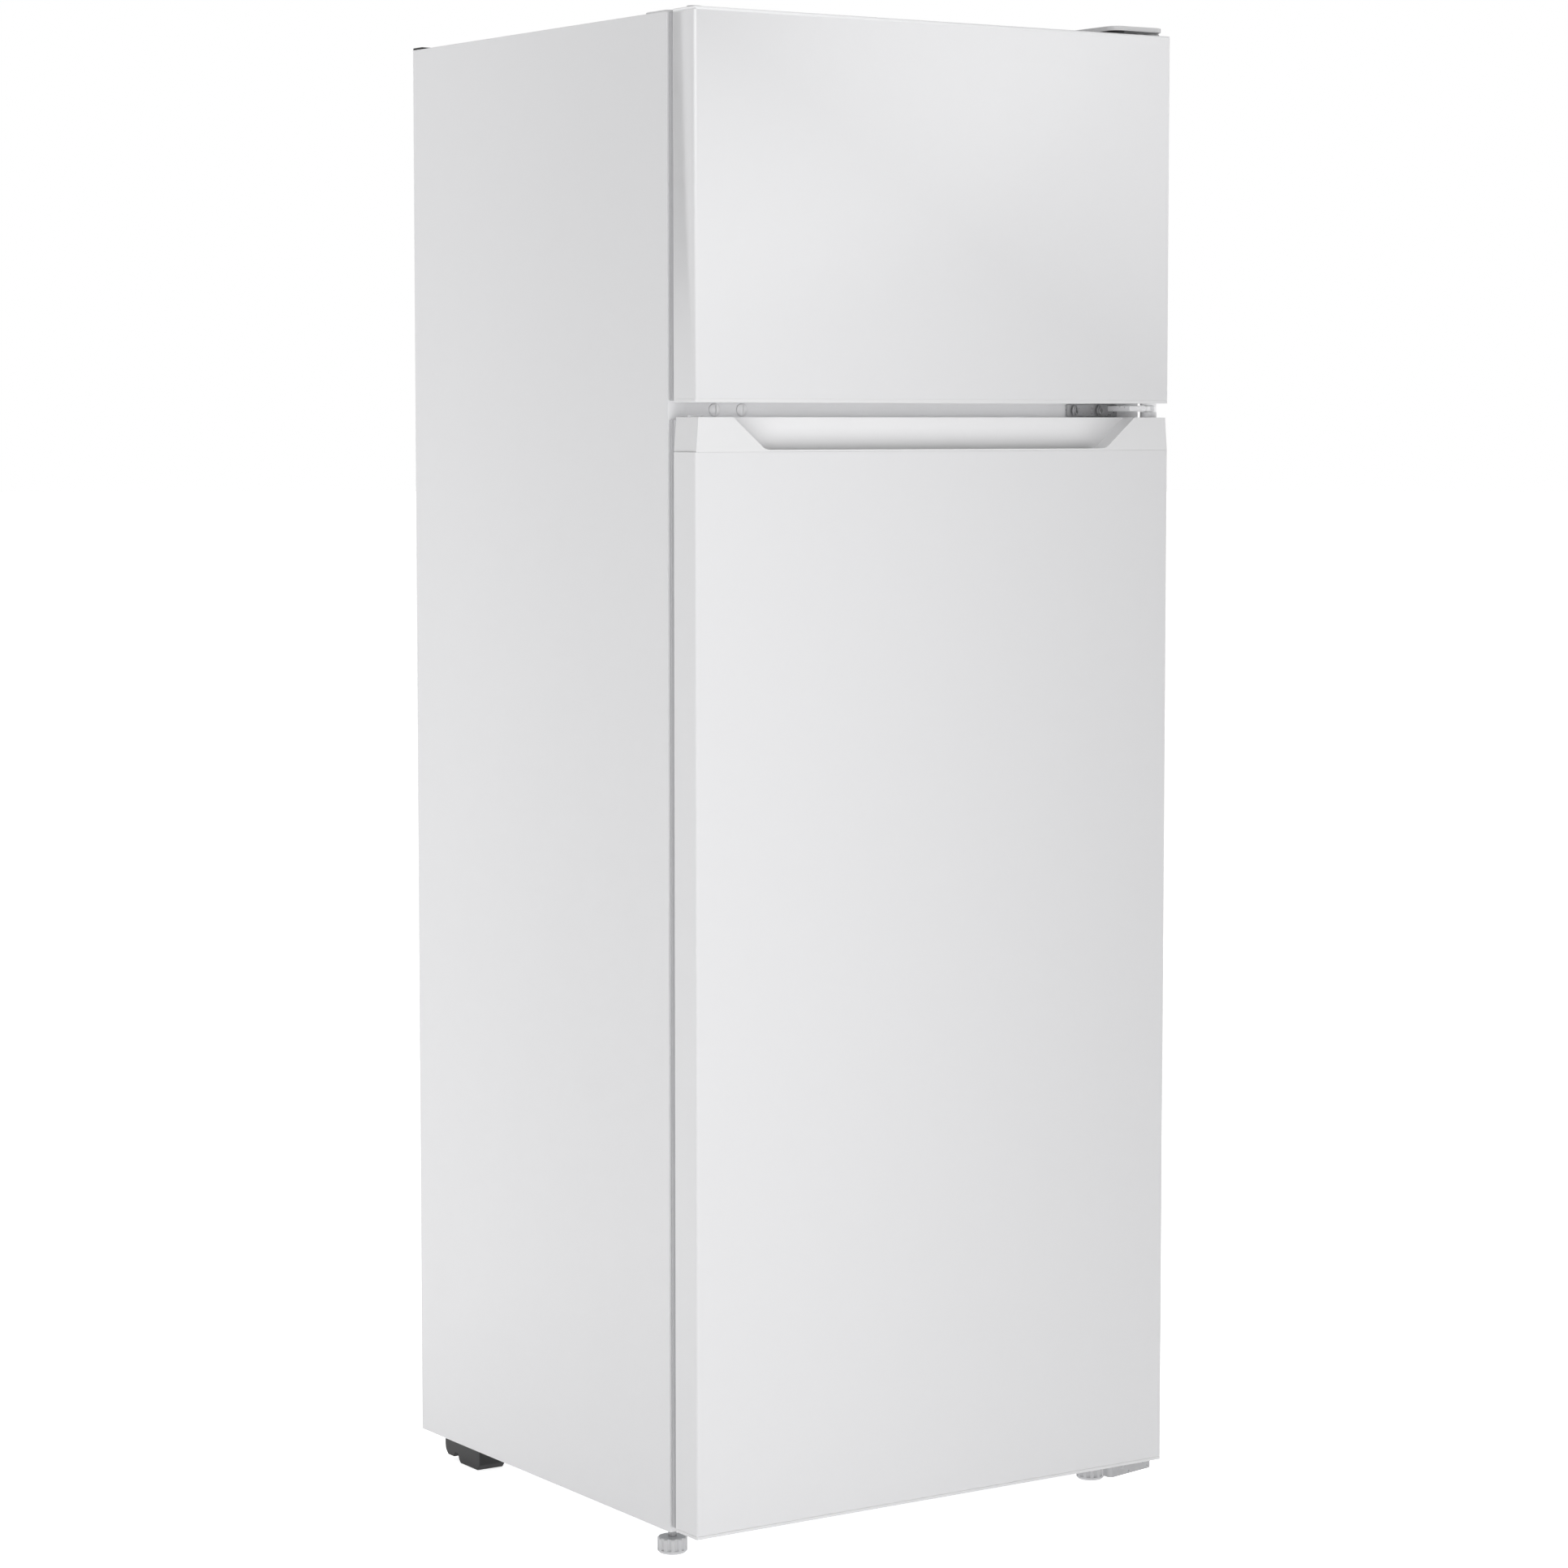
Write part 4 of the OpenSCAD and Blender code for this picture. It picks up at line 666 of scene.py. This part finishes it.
tube_low, tube_high = (Vector(v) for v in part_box("condenser_tube"))
tube_r = (tube_high.y - tube_low.y) / 2
NEAR_PITCH = 42 * MM
climb = tube_high.z - tube_low.z - 2 * tube_r
bends = round(climb / NEAR_PITCH)
bend_pitch = climb / bends
grown("condenser_tube_bent", tube, "black_paint", "condenser_tube", Bends=bends, Pitch=bend_pitch,
      Reach=tube_high.x - tube_r - bend_pitch / 2, Radius=tube_r,
      Start=(0, tube_low.y + tube_r, tube_low.z + tube_r))

# %% [markdown]
# ## Screws
# The hinges are held by hexagon screws with a flange and a cross recess, driven from the outside
# after the doors are hung. The recess is cut with two slots, and the same head is set wherever the
# solid screws stand, facing away from the sheet.

# %% Screw heads
def islands(node):
    """The boxes of a solid's separate parts."""
    work = merged(node)
    left = set(work.verts)
    found = []
    while left:
        group = [left.pop()]
        for vert in group:
            near = {edge.other_vert(vert) for edge in vert.link_edges} & left
            left -= near
            group += near
        spots = np.array([v.co for v in group])
        found.append((spots.min(axis=0), spots.max(axis=0)))
    work.free()
    return sorted(found, key=lambda b: tuple(b[0]))


screw, given = new_tree("hex_screw", Turn=(0.0, 0.0, 0.0), Size=1.0)
SLOT_LONG, SLOT_WIDE, SLOT_DEEP = 4.8 * MM, 1.0 * MM, 2.6 * MM
CROWN_TOP = 2.6 * MM


def turned_part(kind, height, **sizes):
    """A disc, prism or cone of the head, lifted to its height."""
    part = add(screw, kind, {"fill_type": "NGON"}, **sizes)
    return add(screw, "GeometryNodeTransform", Geometry=part, Translation=(0, 0, height))


washer = turned_part("GeometryNodeMeshCylinder", 0.45 * MM, Vertices=32, Radius=5.4 * MM, Depth=0.9 * MM)
flange = turned_part("GeometryNodeMeshCone", 0.85 * MM, Vertices=32, Radius_Top=4.2 * MM,
                     Radius_Bottom=5.3 * MM, Depth=0.6 * MM)
hexagon = turned_part("GeometryNodeMeshCylinder", 1.6 * MM, Vertices=6, Radius=4.25 * MM, Depth=2.0 * MM)
crown = turned_part("GeometryNodeMeshCone", 1.8 * MM, Vertices=24, Radius_Top=2.8 * MM,
                    Radius_Bottom=4.3 * MM, Depth=1.5 * MM)
head = add(screw, "GeometryNodeMeshBoolean", {"operation": "INTERSECT"}).node
for shape in (hexagon, crown):
    screw.links.new(shape, head.inputs["Mesh 2"])
slots = [add(screw, "GeometryNodeMeshCube", Size=size) for size in
         ((SLOT_LONG, SLOT_WIDE, SLOT_DEEP), (SLOT_WIDE, SLOT_LONG, SLOT_DEEP))]
cutters = add(screw, "GeometryNodeJoinGeometry").node
for shape in slots:
    screw.links.new(shape, cutters.inputs[0])
cutters = add(screw, "GeometryNodeTransform", Geometry=cutters.outputs[0], Translation=(0, 0, CROWN_TOP))
cut_head = add(screw, "GeometryNodeMeshBoolean", {"operation": "DIFFERENCE"},
               Mesh_1=head.outputs[0], Mesh_2=cutters)
whole = add(screw, "GeometryNodeJoinGeometry").node
for shape in (washer, flange, cut_head):
    screw.links.new(shape, whole.inputs[0])
set_screws = add(screw, "GeometryNodeInstanceOnPoints", Points=given["Geometry"], Instance=whole.outputs[0],
                 Rotation=given["Turn"], Scale=given["Size"])
finished(screw, set_screws, "zinc_steel")

HEAD_ACROSS = 11 * MM
HALF_WAY_UP = 1.0
up, down, front = [], [], []
for low, high in islands("hinge_screws"):
    middle = (low + high) / 2
    if high[1] - low[1] > HEAD_ACROSS:
        front.append((middle[0], low[1] + CROWN_TOP, middle[2]))
    elif middle[2] > HALF_WAY_UP:
        up.append((middle[0], middle[1], high[2] - CROWN_TOP))
    else:
        down.append((middle[0], middle[1], low[2] + CROWN_TOP))
for name, points, turn in (("screws_up", up, (0, 0, 0)), ("screws_down", down, (math.pi, 0, 0)),
                           ("screws_front", front, (math.pi / 2, 0, 0.4))):
    grown(name, screw, "zinc_steel", "hinge_screws", points=points, Turn=turn, Size=1.0)

# %% [markdown]
# ## The back panel
# A thin sheet drums unless it is stiffened, so the back has beads pressed into it. Each bead is a
# flattened tube whose radius runs out at both ends. Small screws hold the edge of the panel.

# %% Pressed beads and back screws
END_SHARPNESS = 60
beads, given = new_tree("beads", Beads=4, Gap=0.1, Radius=0.006, Flat=0.25,
                        Start=(0.0, 0.0, 0.0), Run=(0.0, 0.0, 1.0))
path = add(beads, "GeometryNodeCurvePrimitiveLine", End=given["Run"])
path = add(beads, "GeometryNodeResampleCurve", Curve=path, Count=64)
along = add(beads, "GeometryNodeSplineParameter")
edge = maths(beads, "ABSOLUTE", maths(beads, "SUBTRACT", maths(beads, "MULTIPLY", along, 2), 1))
full = maths(beads, "SQRT", maths(beads, "SUBTRACT", 1.0001, maths(beads, "POWER", edge, END_SHARPNESS)))
path = add(beads, "GeometryNodeSetCurveRadius", Curve=path, Radius=full)
section = add(beads, "GeometryNodeCurvePrimitiveCircle", Resolution=20, Radius=given["Radius"])
swept = add(beads, "GeometryNodeCurveToMesh", Curve=path, Profile_Curve=section, Fill_Caps=True)
beads.links.new(full, swept.node.inputs["Scale"])
flat = add(beads, "ShaderNodeCombineXYZ", X=1, Y=given["Flat"], Z=1)
swept = add(beads, "GeometryNodeTransform", Geometry=swept, Scale=flat)
step = add(beads, "ShaderNodeCombineXYZ", X=given["Gap"])
spots = add(beads, "GeometryNodeMeshLine", Count=given["Beads"], Start_Location=given["Start"], Offset=step)
finished(beads, add(beads, "GeometryNodeInstanceOnPoints", Points=spots, Instance=swept), "galvanised")

back_low, back_high = (Vector(v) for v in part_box("back_panel"))
BEADS = 5
BEAD_END = 0.05
SCREW_EDGE = 6 * MM
bead_gap = (back_high.x - back_low.x) / (BEADS + 1)
grown("back_beads", beads, "galvanised", body="cabinet", Beads=BEADS, Gap=bead_gap, Radius=6 * MM,
      Flat=0.3, Start=(back_low.x + bead_gap, back_high.y, back_low.z + BEAD_END),
      Run=(0, 0, back_high.z - back_low.z - 2 * BEAD_END))
rim = []
for z in np.linspace(back_low.z + 0.02, back_high.z - 0.035, 7):
    rim += [(x, back_high.y, z) for x in (back_low.x + SCREW_EDGE, back_high.x - SCREW_EDGE)]
grown("back_screws", screw, "zinc_steel", body="cabinet", points=rim, Turn=(-math.pi / 2, 0, 0), Size=0.7)
